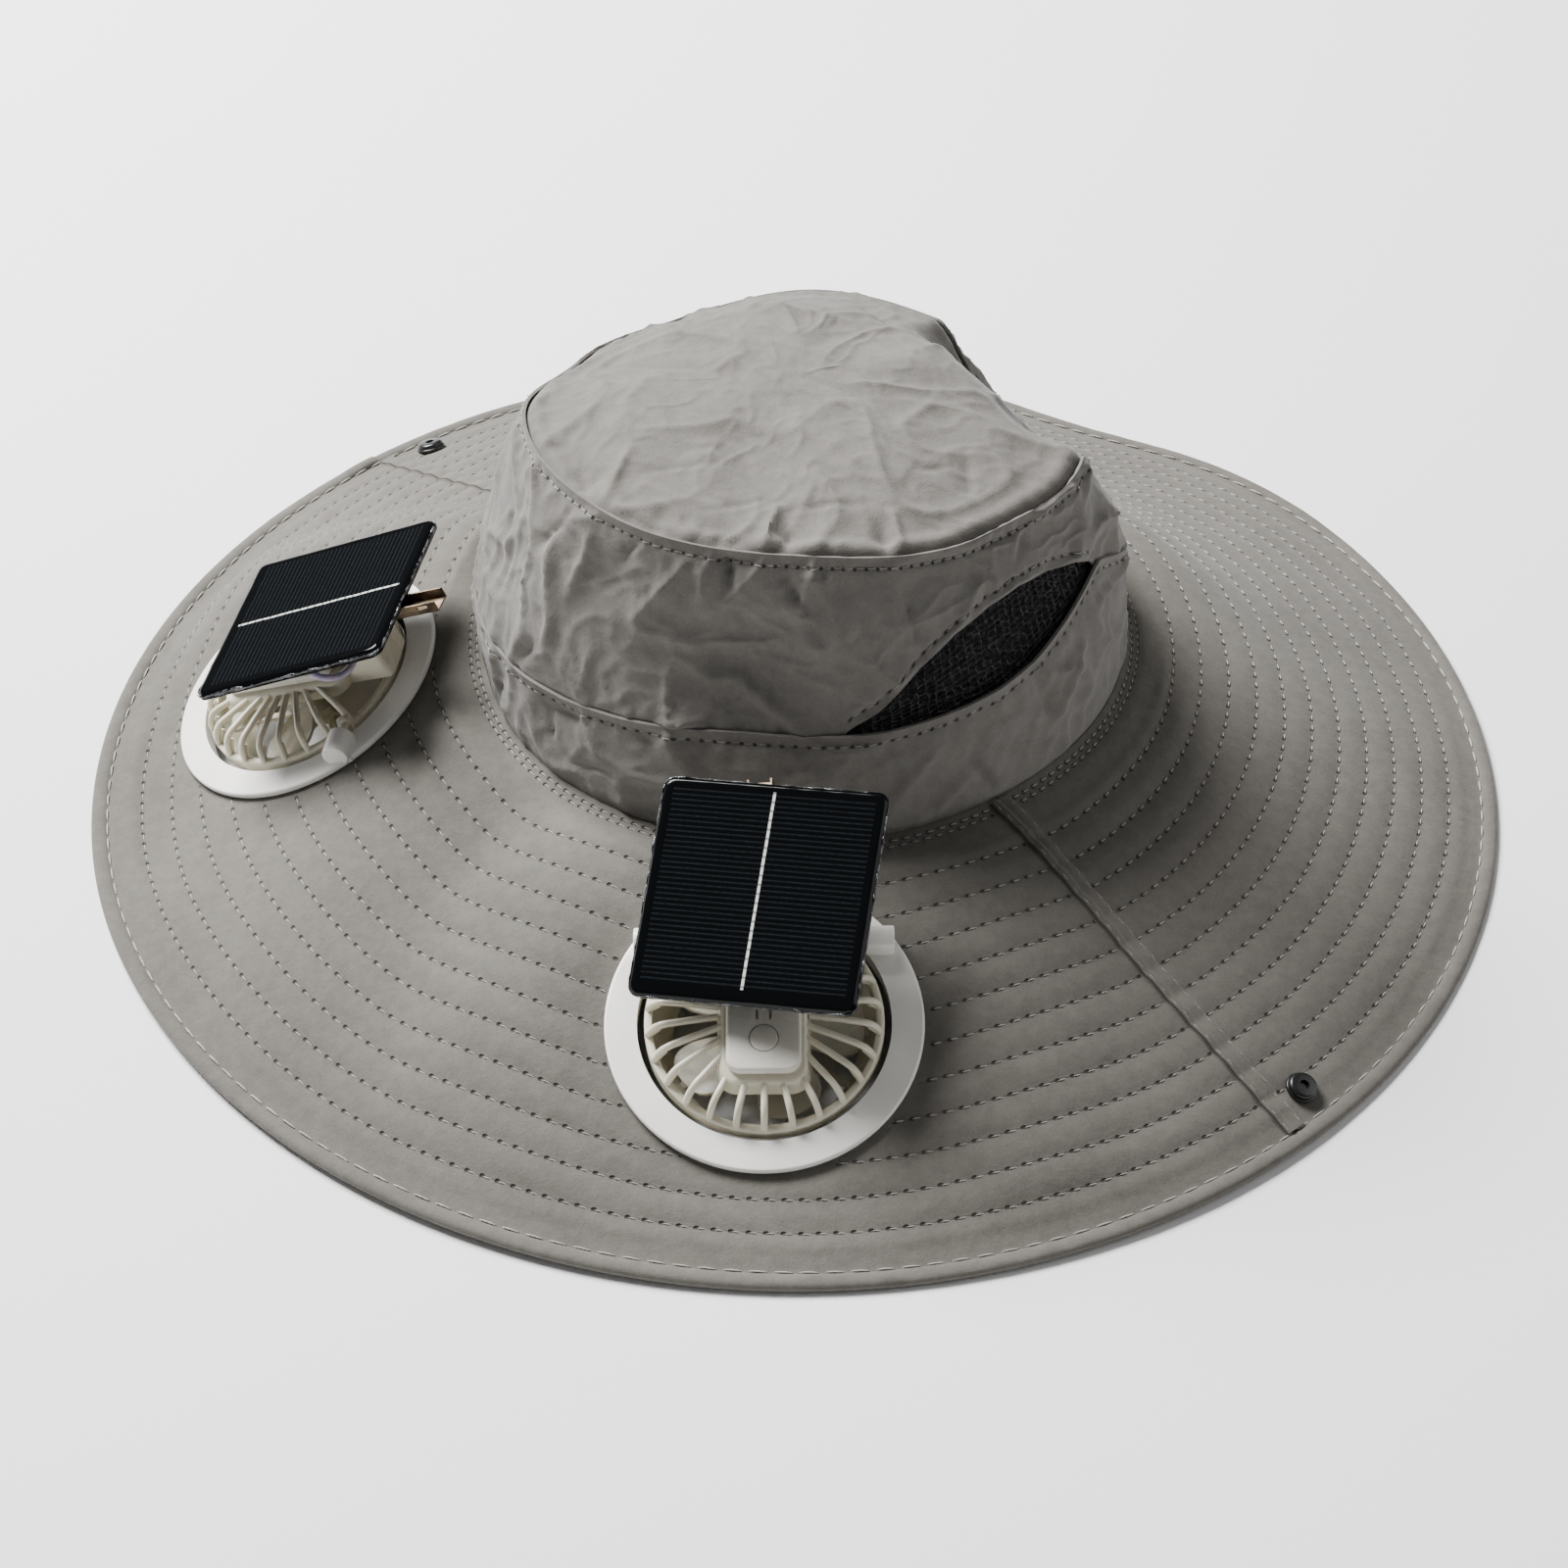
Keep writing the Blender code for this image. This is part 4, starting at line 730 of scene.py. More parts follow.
def rollSurface(azimuth, turn):
    middle = (roll["inner"] + 1.0) / 2
    wide = (1.0 - roll["inner"]) / 2
    begun = eased(angleFrom(azimuth, roll["overlap"][0]) / 0.5)
    stepped = begun * eased(angleFrom(roll["overlap"][1], azimuth) / 5)
    section = 2 * np.pi * turn
    across = middle + wide * np.sign(np.cos(section)) * np.abs(np.cos(section)) ** 0.85
    base = brimBase(azimuth, np.minimum(across, 1.0))
    axis = brimBase(azimuth, np.full_like(azimuth, 1.0))[..., 2:3] - hat["brimWall"] / 2
    points = base * 1000
    worn = cloudy(points / np.array([7.0, 7.0, 5.0])) * 0.10 + cloudy(points / 2.6) * 0.05
    high = roll["halfHeight"] * (1 + worn) + roll["step"] * stepped
    lift = high * np.sin(section)
    height = np.maximum(axis[..., 0] + lift, 0.0)
    return np.concatenate([base[..., :2], height[..., None]], -1)


deselectAll()
edgeRoll = clothGrid("edge_roll", roll["columns"], roll["sides"],
                     lambda turn, around: rollSurface(360.0 * turn, around), closed=True)
unsewnMap(edgeRoll)
mergeDoubles(edgeRoll, outwards=True)
smoothShade(edgeRoll, 60)
finish(edgeRoll, plainCloth, "hat", "cloth_brim", "brim_binding")
count = stitchCount(roll["row"], roll["pitch"])
azimuth = (np.arange(count) + 0.5) * 360.0 / count
spot, up = brimSurface(azimuth, np.full(count, roll["row"]))
ahead = brimSurface(azimuth + 0.5, np.full(count, roll["row"]))[0]
edgeStitches = layStitches("edge_topstitch", [(spot + up * roll["stitchLift"], ahead - spot, up)],
                           stitchShape(0.0052, 0.0006, 0.0006, 0.06))
finish(edgeStitches, threadPale, "hat", "cloth_brim")
print("edge rolled")

# Felled strips over the brim's side seams

strip = {"start": 0.012, "end": 0.958, "steps": 120, "across": 14, "wall": 0.0006,
         "stitchInset": 0.0014, "groove": 0.0002, "pitch": 0.0042, "sewnLength": 0.117}


def stripSurface(seam, along, side, width, height):  # side is -1 to 1
    across = strip["start"] + (strip["end"] - strip["start"]) * along
    middle = seamAzimuth(seam, across)
    azimuth = middle + np.degrees(side * width / 2 / brimReach(across))
    base, normal = brimSurface(azimuth, across)
    edge = 1 - np.clip(np.abs(side), 0, 1) ** 8
    inset = np.abs(np.abs(side) * width / 2 - (width / 2 - strip["stitchInset"]))
    lift = height * (edge + 0.30 * bell(side + 0.38, 0.13) - 0.22 * bell(side + 0.10, 0.16))
    lift = lift - strip["groove"] * np.exp(-(inset / 0.0005) ** 2) + 0.00015 * cloudy(base * 1000 / 4.0)
    return base + normal * lift[..., None], normal


def addStrip(name, seam, width, height, sewn, node):
    piece = clothGrid(name, strip["steps"], strip["across"],
                      lambda along, side: stripSurface(seam, along, 2 * side - 1, width, height)[0],
                      wall=strip["wall"])
    shares = gridShares(piece)
    # phase 0.5 keeps off the needle holes; the distance from the strip's edges gives painted shade along
    # both edges
    stitchMap(piece, shares[:, 0] * 0 + 0.5, (1 - np.abs(2 * shares[:, 1] - 1)) * width / 2 * 100 - 0.04)
    smoothShade(piece, 60)
    finish(piece, plainCloth, "hat", "cloth_brim", node)
    if not sewn:
        return
    count = int(strip["sewnLength"] / strip["pitch"])
    along = (np.arange(count) + 0.5) / count
    rows = []
    for side in (-1, 1):
        place = np.full(count, side * (1 - 2 * strip["stitchInset"] / width))
        spot, up = stripSurface(seam, along, place, width, height)
        ahead = stripSurface(seam, along + 0.01, place, width, height)[0]
        rows.append((spot, ahead - spot, up))
    threads = layStitches(name + "_threads", rows, stitchShape(0.0026, 0.00026, 0.0003, 0.05))
    finish(threads, threadGrey, "hat", "cloth_brim")


addStrip("felled_seam_right", seamRight, 0.0075, 0.0014, True, "brim_seam_right")
addStrip("felled_seam_left", seamLeft, 0.0060, 0.0010, False, "brim_seam_left")
print("strips sewn")

# Crown wall and band, with the folds read from the photo

# each crease runs from one azimuth and height to another (millimetres), then half width, lift outwards
wallCreases = [
    (215.5, 125.8, 210.5, 113.8, 2.0, -1.7), (222.5, 124.4, 220.2, 104.3, 2.6, 1.4),
    (233.5, 127.1, 230.0, 121.0, 2.0, -1.4), (245.0, 126.7, 235.5, 105.6, 2.4, 1.6),
    (252.8, 129.4, 254.5, 121.1, 1.5, -1.7), (266.2, 124.0, 269.8, 115.6, 1.8, -1.7),
    (266.0, 116.0, 271.0, 113.8, 1.5, 1.3), (271.0, 126.0, 275.0, 117.0, 1.8, 1.0),
    (237.0, 103.3, 248.5, 101.4, 1.8, 1.3), (248.5, 101.4, 261.0, 103.3, 1.8, 1.3),
    (243.8, 77.2, 250.5, 80.7, 2.2, 1.8), (211.0, 76.4, 214.2, 84.7, 2.0, -1.4),
    (218.0, 82.8, 217.5, 95.0, 1.4, 0.7), (222.5, 80.0, 222.0, 93.0, 1.4, 0.7),
    (227.0, 79.5, 227.5, 92.0, 1.4, 0.7), (289.8, 118.7, 291.8, 104.0, 1.6, -1.2),
    (286.5, 116.0, 287.0, 107.0, 1.8, 0.7), (322.0, 124.0, 316.0, 116.0, 2.2, -0.9),
    (200.0, 118.0, 199.0, 84.0, 1.3, 0.8), (195.5, 112.0, 195.0, 74.0, 1.3, 0.8),
    (191.0, 108.0, 190.5, 70.0, 1.3, 0.7), (204.5, 112.0, 204.0, 92.0, 1.3, -0.7),
    (176.0, 118.0, 181.0, 88.0, 2.4, 1.2), (160.0, 112.0, 152.0, 86.0, 2.4, -1.4),
    (128.0, 112.0, 135.0, 84.0, 2.6, 1.3), (98.0, 110.0, 92.0, 80.0, 2.6, -1.4),
    (78.0, 112.0, 84.0, 84.0, 2.4, 1.3), (48.0, 104.0, 40.0, 78.0, 2.6, 1.3),
    (18.0, 92.0, 24.0, 72.0, 2.4, -1.2), (350.0, 112.0, 346.0, 92.0, 2.2, 1.0),
    (218.2, 66.1, 228.0, 69.4, 2.2, -1.7), (219.2, 65.0, 220.5, 55.5, 1.5, -1.3),
    (226.0, 53.4, 233.5, 56.6, 2.2, -1.7), (203.5, 61.8, 202.2, 49.5, 1.2, -1.1),
    (237.2, 80.5, 237.5, 75.8, 1.0, 0.9), (240.2, 72.9, 243.0, 70.4, 1.2, -1.0),
    (315.0, 82.1, 318.2, 61.4, 2.0, -1.1), (328.5, 81.5, 317.2, 63.6, 3.0, 1.7),
    (299.2, 65.4, 304.0, 53.4, 1.1, -1.2), (300.0, 68.8, 316.2, 57.8, 3.0, -1.3),
    (170.0, 60.0, 160.0, 54.0, 2.0, -1.1), (120.0, 64.0, 112.0, 54.0, 2.0, -1.1),
    (60.0, 62.0, 66.0, 52.0, 2.0, 1.0),
]
# the same on the top panel, in millimetres from the middle of the hat
topCreases = [
    (-46.1, -20.6, -53.1, -39.9, 2.2, 1.9), (-60.0, -23.0, -57.0, -37.0, 5.5, -2.8),
    (-46.5, -47.0, -32.7, -55.2, 3.0, -2.6), (-25.1, -57.6, -16.1, -56.6, 2.8, -2.2),
    (-5.2, -44.6, -8.7, -59.7, 1.7, 2.0), (-1.0, -49.0, -3.0, -60.0, 3.6, -2.2),
    (-25.2, 25.5, 4.6, 1.6, 3.2, 1.1), (-31.0, 21.0, -3.0, -2.5, 3.0, -0.8),
    (-42.4, -29.8, -21.7, -27.0, 0.9, -0.5), (-24.9, -45.0, -6.1, -40.9, 0.9, -0.5),
    (-63.6, 36.2, -27.1, 17.1, 2.5, -0.9), (27.0, -45.6, 29.3, -58.3, 1.2, 1.6),
    (23.5, -50.0, 25.5, -59.0, 2.4, -1.4), (33.9, -28.1, 43.9, -24.3, 0.9, -0.5),
    (-3.3, -45.4, 19.1, -42.2, 0.9, -0.5), (-3.1, 15.9, 16.6, 2.8, 3.0, -0.9),
    (47.8, -16.4, 48.8, -33.9, 2.0, -0.7), (5.1, -13.8, 16.0, -26.7, 2.5, 0.7),
    (-12.0, 52.0, 14.0, 44.0, 2.6, 1.2), (20.0, 62.0, 30.0, 46.0, 3.0, -1.6),
    (-44.0, 58.0, -34.0, 40.0, 2.6, 1.2), (48.0, 40.0, 38.0, 30.0, 2.6, 1.2),
]
crown = {"columns": 440, "sideRows": 66, "bandRows": 34, "topRings": 74, "perDegree": 1.55, "crease": 0.001,
         "wallFolds": 1.7, "wallCrumple": 1.5, "topFolds": 1.5, "topCrumple": 1.1, "overlap": 0.0022,
         "wall": 0.0009, "stitchIn": 0.0029, "pitch": 0.0037, "stitchSize": 0.00046, "sewnRadius": 0.088}
seamStitches = round(2 * math.pi * crown["sewnRadius"] / crown["pitch"])


# x and y in millimetres, or x in degrees where perDegree is given
def creaseLift(x, y, rows, perDegree=None):
    lift = np.zeros(np.broadcast(x, y).shape)
    for x1, y1, x2, y2, halfWidth, height in rows:
        dx = angleFrom(x, x1) * perDegree if perDegree else x - x1
        ex = (x2 - x1) * (perDegree or 1.0)
        dy, ey = y - y1, y2 - y1
        share = np.clip((dx * ex + dy * ey) / (ex * ex + ey * ey), 0, 1)
        away = np.hypot(dx - share * ex, dy - share * ey)
        lift += height * np.exp(-(away / halfWidth) ** 1.15) * (1 - 0.5 * np.abs(2 * share - 1))
    return lift * crown["crease"]


def windowShare(azimuth):  # 1 where the wall is cut open for the net
    return eased((cutHeight(azimuth, 2) - cutHeight(azimuth, 1)) / 0.003)


def crumple(points, strength):
    soft = 1 - creased(points, 27.0, 1.0)
    small = 1 - creased(points, 11.0, 2.0)
    return strength * (0.0011 * soft * soft + 0.0004 * small * small + 0.0004 * cloudy(points / 13.0 + 4.0)
                       + 0.00010 * cloudy(points / 3.2))


def wallDetail(azimuth, height, seams):  # seams: height and strength of the seams that gather the cloth
    base, level = wallBase(azimuth, height)
    points = base * 1000
    lift = creaseLift(azimuth, height * 1000, wallCreases, crown["perDegree"]) * crown["wallFolds"]
    lift = lift + crumple(points, crown["wallCrumple"])
    for seam, strength in seams:
        away = np.abs(height - seam) * 1000
        mask = np.clip(cloudy(points / 17.0 + seam.mean() * 90) * 1.6 + 0.35, 0, 1)
        beat = np.sin(np.radians(azimuth) * 92 + 2.6 * cloudy(points / 14.0 + 2.0))
        lift = lift + strength * 0.00042 * beat * mask * np.exp(-(away / 7.5) ** 1.4)
    turn = np.radians(azimuth)
    out = np.stack([np.cos(turn), np.sin(turn), 0.35 + 0 * turn], -1)
    out = out / np.linalg.norm(out, axis=-1, keepdims=True)
    return base, lift, out


def seamProfile(away, bead):  # away from a folded edge in metres: a bead, then a sewn valley
    valley = np.exp(-((away - crown["stitchIn"]) / 0.0008) ** 2)
    return bead * np.exp(-(away / 0.0011) ** 2) - 0.0004 * valley


def sideSurface(azimuth, level):
    opened = windowShare(azimuth)
    low = cutHeight(azimuth, 2) - (1 - opened) * crown["overlap"]
    high = topHeight(azimuth) + 0.0002
    height = low + (high - low) * level
    base, lift, out = wallDetail(azimuth, height, [(high, 1.0), (low, 1.0)])
    lift = lift * eased(level * 14) * eased((1 - level) * 18) + seamProfile(high - height, 0.0007)
    lift = lift + opened * seamProfile(height - low, 0.0005)
    lift = lift - (1 - opened) * 0.0009 * np.exp(-((height - low) / 0.0018) ** 2)
    return base + out * lift[..., None], out, high - height, height - low


def bandSurface(azimuth, level):
    low = seamHeight(azimuth) - 0.0016
    high = cutHeight(azimuth, 1)
    height = low + (high - low) * level
    seams = [(high, 0.9), (low, 0.7)]
    base, lift, out = wallDetail(azimuth, np.maximum(height, seamHeight(azimuth)), seams)
    base[..., 2] = height
    lift = lift * eased(level * 7) * eased((1 - level) * 10)
    lift = lift + seamProfile(high - height, 0.0008)
    lift = lift + 0.0004 * (1 - windowShare(azimuth)) * np.exp(-(high - height) / 0.004)
    return base + out * lift[..., None], out, high - height


def topSurface(azimuth, share):
    base = topBase(azimuth, share)
    points = base * 1000
    lift = creaseLift(points[..., 0], points[..., 1], topCreases) * crown["topFolds"]
    lift = lift + crumple(points, crown["topCrumple"])
    edge = (1 - share) * 0.075
    beat = np.sin(np.radians(azimuth) * 70 + 2.8 * cloudy(points / 12.0 + 8.0))
    mask = np.clip(cloudy(points / 19.0 + 40.0) * 1.6 + 0.2, 0, 1)
    lift = lift + 0.0004 * beat * mask * np.exp(-(edge / 0.007) ** 1.4)
    lift = lift * eased(edge / 0.003) + 0.0009 * np.exp(-((edge - 0.0035) / 0.0022) ** 2)
    lift = lift - 0.0016 * np.exp(-(edge / 0.0014) ** 2)
    return base + np.array([0, 0, 1.0]) * lift[..., None]


def always(azimuth):
    return np.ones_like(azimuth)


def wallPiece(name, rows, surface, node, seamShares):  # where each edge of the wall shows its stitches
    piece = clothGrid(name, crown["columns"], rows, lambda turn, level: surface(360.0 * turn, level)[0],
                      closed=True)
    shares = gridShares(piece)
    azimuth = shares[:, 0] * 360.0
    away = np.full(len(azimuth), 0.01)
    for distance, seamShare in zip(surface(azimuth, shares[:, 1])[2:], seamShares):
        near = np.where(seamShare(azimuth) > 0.5, distance - crown["stitchIn"], 0.01)
        away = np.where(np.abs(near) < np.abs(away), near, away)
    stitchMap(piece, azimuth / 360.0 * seamStitches, away * 100)
    giveWall(piece, crown["wall"])
    smoothShade(piece, 70)
    finish(piece, crownCloth, "hat", "cloth_crown", node)


wallPiece("crumpled_wall", crown["sideRows"], sideSurface, "crown_side", [always, windowShare])
wallPiece("lower_band", crown["bandRows"], bandSurface, "crown_band", [always])
print("crown wall crumpled")

topPanel = clothGrid("top_panel", crown["columns"], crown["topRings"],
                     lambda turn, share: topSurface(360.0 * turn, 0.994 * share), closed=True)
unsewnMap(topPanel)
mergeDoubles(topPanel, outwards=True)
giveWall(topPanel, crown["wall"])
smoothShade(topPanel, 70)
finish(topPanel, crownCloth, "hat", "cloth_crown", "crown_top")


def seamSpot(surface, azimuth, edge):  # the stitch line beside one of a wall's edges
    low = surface(azimuth, np.zeros_like(azimuth))[edge + 2]
    high = surface(azimuth, np.ones_like(azimuth))[edge + 2]
    return surface(azimuth, (crown["stitchIn"] - low) / (high - low))[:2]


def sewRow(name, surface, edge, seamShare):
    azimuth = (np.arange(seamStitches) + 0.5) * 360.0 / seamStitches
    azimuth = azimuth[seamShare(azimuth) > 0.9]
    spot, up = seamSpot(surface, azimuth, edge)
    ahead = seamSpot(surface, azimuth + 0.4, edge)[0]
    stitch = stitchShape(0.0026, crown["stitchSize"] * 0.75, crown["stitchSize"] * 0.8, 0.07)
    finish(layStitches(name, [(spot, ahead - spot, up)], stitch), threadGrey, "hat", "cloth_crown")


sewRow("top_seam_threads", sideSurface, 0, always)
sewRow("window_threads", sideSurface, 1, windowShare)
sewRow("band_threads", bandSurface, 0, always)
print("crown sewn")

# Nets: two layers of knitted mesh behind each window, over a dark sheet of painted shade that stands in for
# the shaded inside of the crown

net = {"first": 50.0, "last": 118.0, "margin": 0.004, "yarn": 0.00070, "loop": 0.00075,
       "layers": ((0.0030, 38, 17), (0.0037, 51, 22)), "shadeSheetBack": 0.0050, "shadeSheetWall": 0.0004}


def netSurface(middle, turn, rise, back, jitter):
    azimuth = hat["faceAzimuth"] + middle * (net["first"] + (net["last"] - net["first"]) * turn)
    low = cutHeight(azimuth, 1) - net["margin"]
    high = cutHeight(azimuth, 2) + net["margin"]
    height = low + (high - low) * rise
    base = wallBase(azimuth, height, -back)[0]
    points = base * 1000
    wobble = np.stack([cloudy(points / 1.7 + seed) for seed in (3.0, 13.0, 23.0)], -1)
    return base + wobble * jitter


def addNet(side, middle):
    layers = []
    for back, columns, rows in net["layers"]:  # how far behind the wall, and its loops along and up
        layer = clothGrid("net_layer", columns, rows, lambda turn, rise: netSurface(
            middle, turn + 0.004 * np.sin(rise * 160), rise, back, net["loop"]))
        wire = layer.modifiers.new("Yarn", "WIREFRAME")
        wire.thickness = net["yarn"]
        wire.use_even_offset = False
        applyAll(layer)
        layers.append(layer)
    # painted shade: a solid dark sheet behind the mesh stands in for the shade inside the crown
    layers.append(clothGrid("net_shade_sheet", 30, 10,
                            lambda turn, rise: netSurface(middle, turn, rise, net["shadeSheetBack"], 0.0),
                            wall=net["shadeSheetWall"]))
    netPiece = joinPieces("knitted_net_" + side, layers)
    smoothShade(netPiece, 80)
    finish(netPiece, netBlack, "hat", "black_net", "mesh_" + side)


addNet("right", 1)
addNet("left", -1)
print("nets knitted")

# Fans: every piece is modelled once in the fan's own frame, then copied to both fans

fan = {
    "ringRadius": 0.044, "bore": 0.035, "flangeLow": 0.0003, "flangeHigh": 0.0025, "collar": 0.0363,
    "lip": 0.0393, "collarLow": -0.0029, "lipHigh": -0.0019,
    "barrelRadius": 0.004, "barrelIn": 0.0275, "barrelOut": 0.036, "footHalf": 0.0038,
    "tiltY": 0.0235, "tiltZ": 0.0046, "pinRadius": 0.0011, "pinEnd": 0.0333,
    "rimRadius": 0.033, "rimWall": 0.0023, "wall": 0.0018, "rimHigh": 0.0035, "rimLow": -0.0012,
    "rearRadius": 0.0275, "depth": 0.012, "ribPitch": 13.85, "ribs": 21, "ribRadius": 0.00098,
    "spokes": 6, "spokeHalf": 0.0011, "discRadius": 0.006,
    "hubHalf": 0.013, "hubFront": -0.0235, "hubBack": 0.022, "hubLow": 0.0058, "hubHigh": 0.0108,
    "boxHalf": 0.01025, "boxFront": -0.0195, "boxBack": 0.0177, "boxLow": 0.0111, "boxHigh": 0.0143,
    "buttonY": -0.010, "buttonRadius": 0.00385, "buttonGap": 0.00022, "slitX": 0.0018, "slitHalf": 0.00035,
    "motorRadius": 0.009, "neckHalf": 0.0075, "neckStart": 0.018, "neckLow": 0.0052, "neckTop": 0.0168,
    "neckLean": 0.0118, "hingeY": 0.034, "hingeZ": 0.0195, "knuckle": 0.0021, "earIn": 0.0038,
    "earOut": 0.0068, "blades": 5, "bladeReach": 0.0275, "bladeHub": 0.0095, "bladeWall": 0.0009,
    "bladeTurn": 52, "bladePitch": 24, "impellerLow": -0.004, "impellerHigh": 0.0035,
}


def cylinder(radius, low, high, place=(0.0, 0.0), sides=96):
    deselectAll()
    bpy.ops.mesh.primitive_cylinder_add(vertices=sides, radius=radius, depth=high - low,
                                        location=(place[0], place[1], (low + high) / 2))
    piece = bpy.context.object
    bakePlace(piece)
    return piece


def rod(radius, start, end, sides=32):
    deselectAll()
    middle = (Vector(start) + Vector(end)) / 2
    reach = Vector(end) - Vector(start)
    bpy.ops.mesh.primitive_cylinder_add(vertices=sides, radius=radius, depth=reach.length, location=middle,
                                        rotation=reach.to_track_quat("Z", "Y").to_euler())
    piece = bpy.context.object
    bakePlace(piece)
    return piece


def frustum(lowRadius, highRadius, low, high, sides=96):
    deselectAll()
    bpy.ops.mesh.primitive_cone_add(vertices=sides, radius1=lowRadius, radius2=highRadius, depth=high - low,
                                    location=(0, 0, (low + high) / 2))
    piece = bpy.context.object
    bakePlace(piece)
    return piece


def block(first, last, corner=0.0, steps=6):  # between two corners; corner rounds the upright edges
    deselectAll()
    size = [abs(high - low) for low, high in zip(first, last)]
    bpy.ops.mesh.primitive_cube_add(size=1.0, location=[(high + low) / 2 for low, high in zip(first, last)])
    piece = bpy.context.object
    piece.scale = size
    bakePlace(piece)
    if corner:
        for edge in piece.data.edges:
            lower, upper = (piece.data.vertices[index].co for index in edge.vertices)
            edge.select = abs(upper.z - lower.z) > size[2] / 2
        for polygon in piece.data.polygons:
            polygon.select = False
        bpy.context.tool_settings.mesh_select_mode = (False, True, False)
        bpy.ops.object.mode_set(mode="EDIT")
        bpy.ops.mesh.bevel(offset=corner, offset_type="OFFSET", segments=steps, affect="EDGES")
        bpy.ops.object.mode_set(mode="OBJECT")
    return piece


def combine(piece, others, operation="UNION"):
    for other in others:
        change = piece.modifiers.new("Combine", "BOOLEAN")
        change.operation = operation
        change.solver = "EXACT"
        change.object = other
        applyAll(piece)
        bpy.data.objects.remove(other, do_unlink=True)
    return piece


def roundEdges(piece, width, segments=3, degrees=35):
    bevel = piece.modifiers.new("Edges", "BEVEL")
    bevel.width = width
    bevel.segments = segments
    bevel.limit_method = "ANGLE"
    bevel.angle_limit = math.radians(degrees)
    bevel.use_clamp_overlap = True
    bevel.harden_normals = False
    applyAll(piece)
    return piece


def turnedCopies(piece, angles):
    copies = []
    for angle in angles:
        pick(piece)
        bpy.ops.object.duplicate()
        other = bpy.context.object
        bpy.ops.object.mode_set(mode="EDIT")
        bpy.ops.mesh.select_all(action="SELECT")
        bpy.ops.transform.rotate(value=-math.radians(angle), orient_axis="Z", center_override=(0, 0, 0))
        bpy.ops.object.mode_set(mode="OBJECT")
        copies.append(other)
    bpy.data.objects.remove(piece, do_unlink=True)
    return copies


def smoothTube(points, radius, sides=4):  # a bezier wire turned into a mesh
    wire = bpy.data.curves.new("wire", "CURVE")
    wire.dimensions = "3D"
    wire.bevel_depth = radius
    wire.bevel_resolution = sides
    wire.resolution_u = 5
    wire.use_fill_caps = True
    line = wire.splines.new("BEZIER")
    line.bezier_points.add(len(points) - 1)
    for spot, place in zip(line.bezier_points, points):
        spot.co = place
        spot.handle_left_type = spot.handle_right_type = "AUTO"
    piece = bpy.data.objects.new("wire", wire)
    bpy.context.scene.collection.objects.link(piece)
    pick(piece)
    bpy.ops.object.convert(target="MESH")
    return bpy.context.object


def onBothFans(piece, name, material, slotName, body, node=None, frameOf=fanFrames.get, degrees=32):
    smoothShade(piece, degrees)
    for which in fanFrames:
        pick(piece)
        bpy.ops.object.duplicate()
        other = bpy.context.object
        other.name = which + "_" + name
        other.data.transform(frameOf(which))
        nodes = [which + "_" + node] if node else []
        finish(other, material, body if body == "hat" else which + "_" + body, slotName, *nodes)
    bpy.data.objects.remove(piece, do_unlink=True)


# flange
ring = cylinder(fan["ringRadius"], fan["flangeLow"], fan["flangeHigh"], sides=160)
roundEdges(ring, 0.0008, 4)
collar = cylinder(fan["collar"], fan["collarLow"], fan["flangeLow"] + 0.0004, sides=160)
lip = cylinder(fan["lip"], fan["collarLow"], fan["lipHigh"], sides=160)
combine(ring, [collar, lip])
combine(ring, [cylinder(fan["bore"], -0.01, 0.01, sides=160)], "DIFFERENCE")
barrels = []
for side in (-1, 1):
    barrel = rod(fan["barrelRadius"], (side * fan["barrelIn"], fan["tiltY"], fan["tiltZ"]),
                 (side * fan["barrelOut"], fan["tiltY"], fan["tiltZ"]), 48)
    roundEdges(barrel, 0.0004, 3)
    low, high = sorted((side * fan["barrelIn"], side * fan["barrelOut"]))
    foot = block((low + 0.0012, fan["tiltY"] - fan["footHalf"], 0.0008),
                 (high - 0.0010, fan["tiltY"] + fan["footHalf"], fan["tiltZ"]))
    combine(foot, [cylinder(fan["rimRadius"] + 0.0009, -0.002, 0.012, sides=160)], "DIFFERENCE")
    barrels += [barrel, foot]
combine(ring, barrels)
combine(ring, [rod(fan["pinRadius"] + 0.0003, (side * 0.026, fan["tiltY"], fan["tiltZ"]),
                   (side * (fan["pinEnd"] + 0.0006), fan["tiltY"], fan["tiltZ"]), 16)
               for side in (-1, 1)], "DIFFERENCE")
onBothFans(ring, "flange", ringAbs, "ring_white", "hat", "ring")
print("flanges ready")

# cage: rim, tapered drum, domed ribs, rear spokes, hub frame, neck with its ears
rim = cylinder(fan["rimRadius"], fan["rimLow"], fan["rimHigh"], sides=160)
roundEdges(rim, 0.0010, 4)
combine(rim, [cylinder(fan["rimRadius"] - fan["rimWall"], -0.01, 0.01, sides=160)], "DIFFERENCE")
roundEdges(rim, 0.0004, 2, 50)
drum = frustum(fan["rearRadius"], fan["rimRadius"], -fan["depth"], fan["rimLow"], 128)
combine(drum, [frustum(fan["rearRadius"] - fan["wall"], fan["rimRadius"] - fan["wall"] + 0.0002,
                       -fan["depth"] - 0.0001, fan["rimLow"] + 0.0001, 128)], "DIFFERENCE")
ribTurns = [-90.0 + fan["ribPitch"] * (index - fan["ribs"] // 2) for index in range(fan["ribs"])]
ribs = turnedCopies(smoothTube([(0.0322, 0, 0.0018), (0.0315, 0, 0.0050), (0.0291, 0, 0.0083),
                                (0.0240, 0, 0.0092), (0.0125, 0, 0.0095)], fan["ribRadius"]), ribTurns)
feet = turnedCopies(smoothTube([(0.0320, 0, 0.0015), (0.0308, 0, 0.0038), (0.0286, 0, 0.0066)], 0.0006, 3),
                    ribTurns)
spoke = block((0.004, -fan["spokeHalf"], -fan["depth"] + 0.0002),
              (fan["rearRadius"] - 0.0006, fan["spokeHalf"], -fan["depth"] + 0.0018))
roundEdges(spoke, 0.0003, 2)
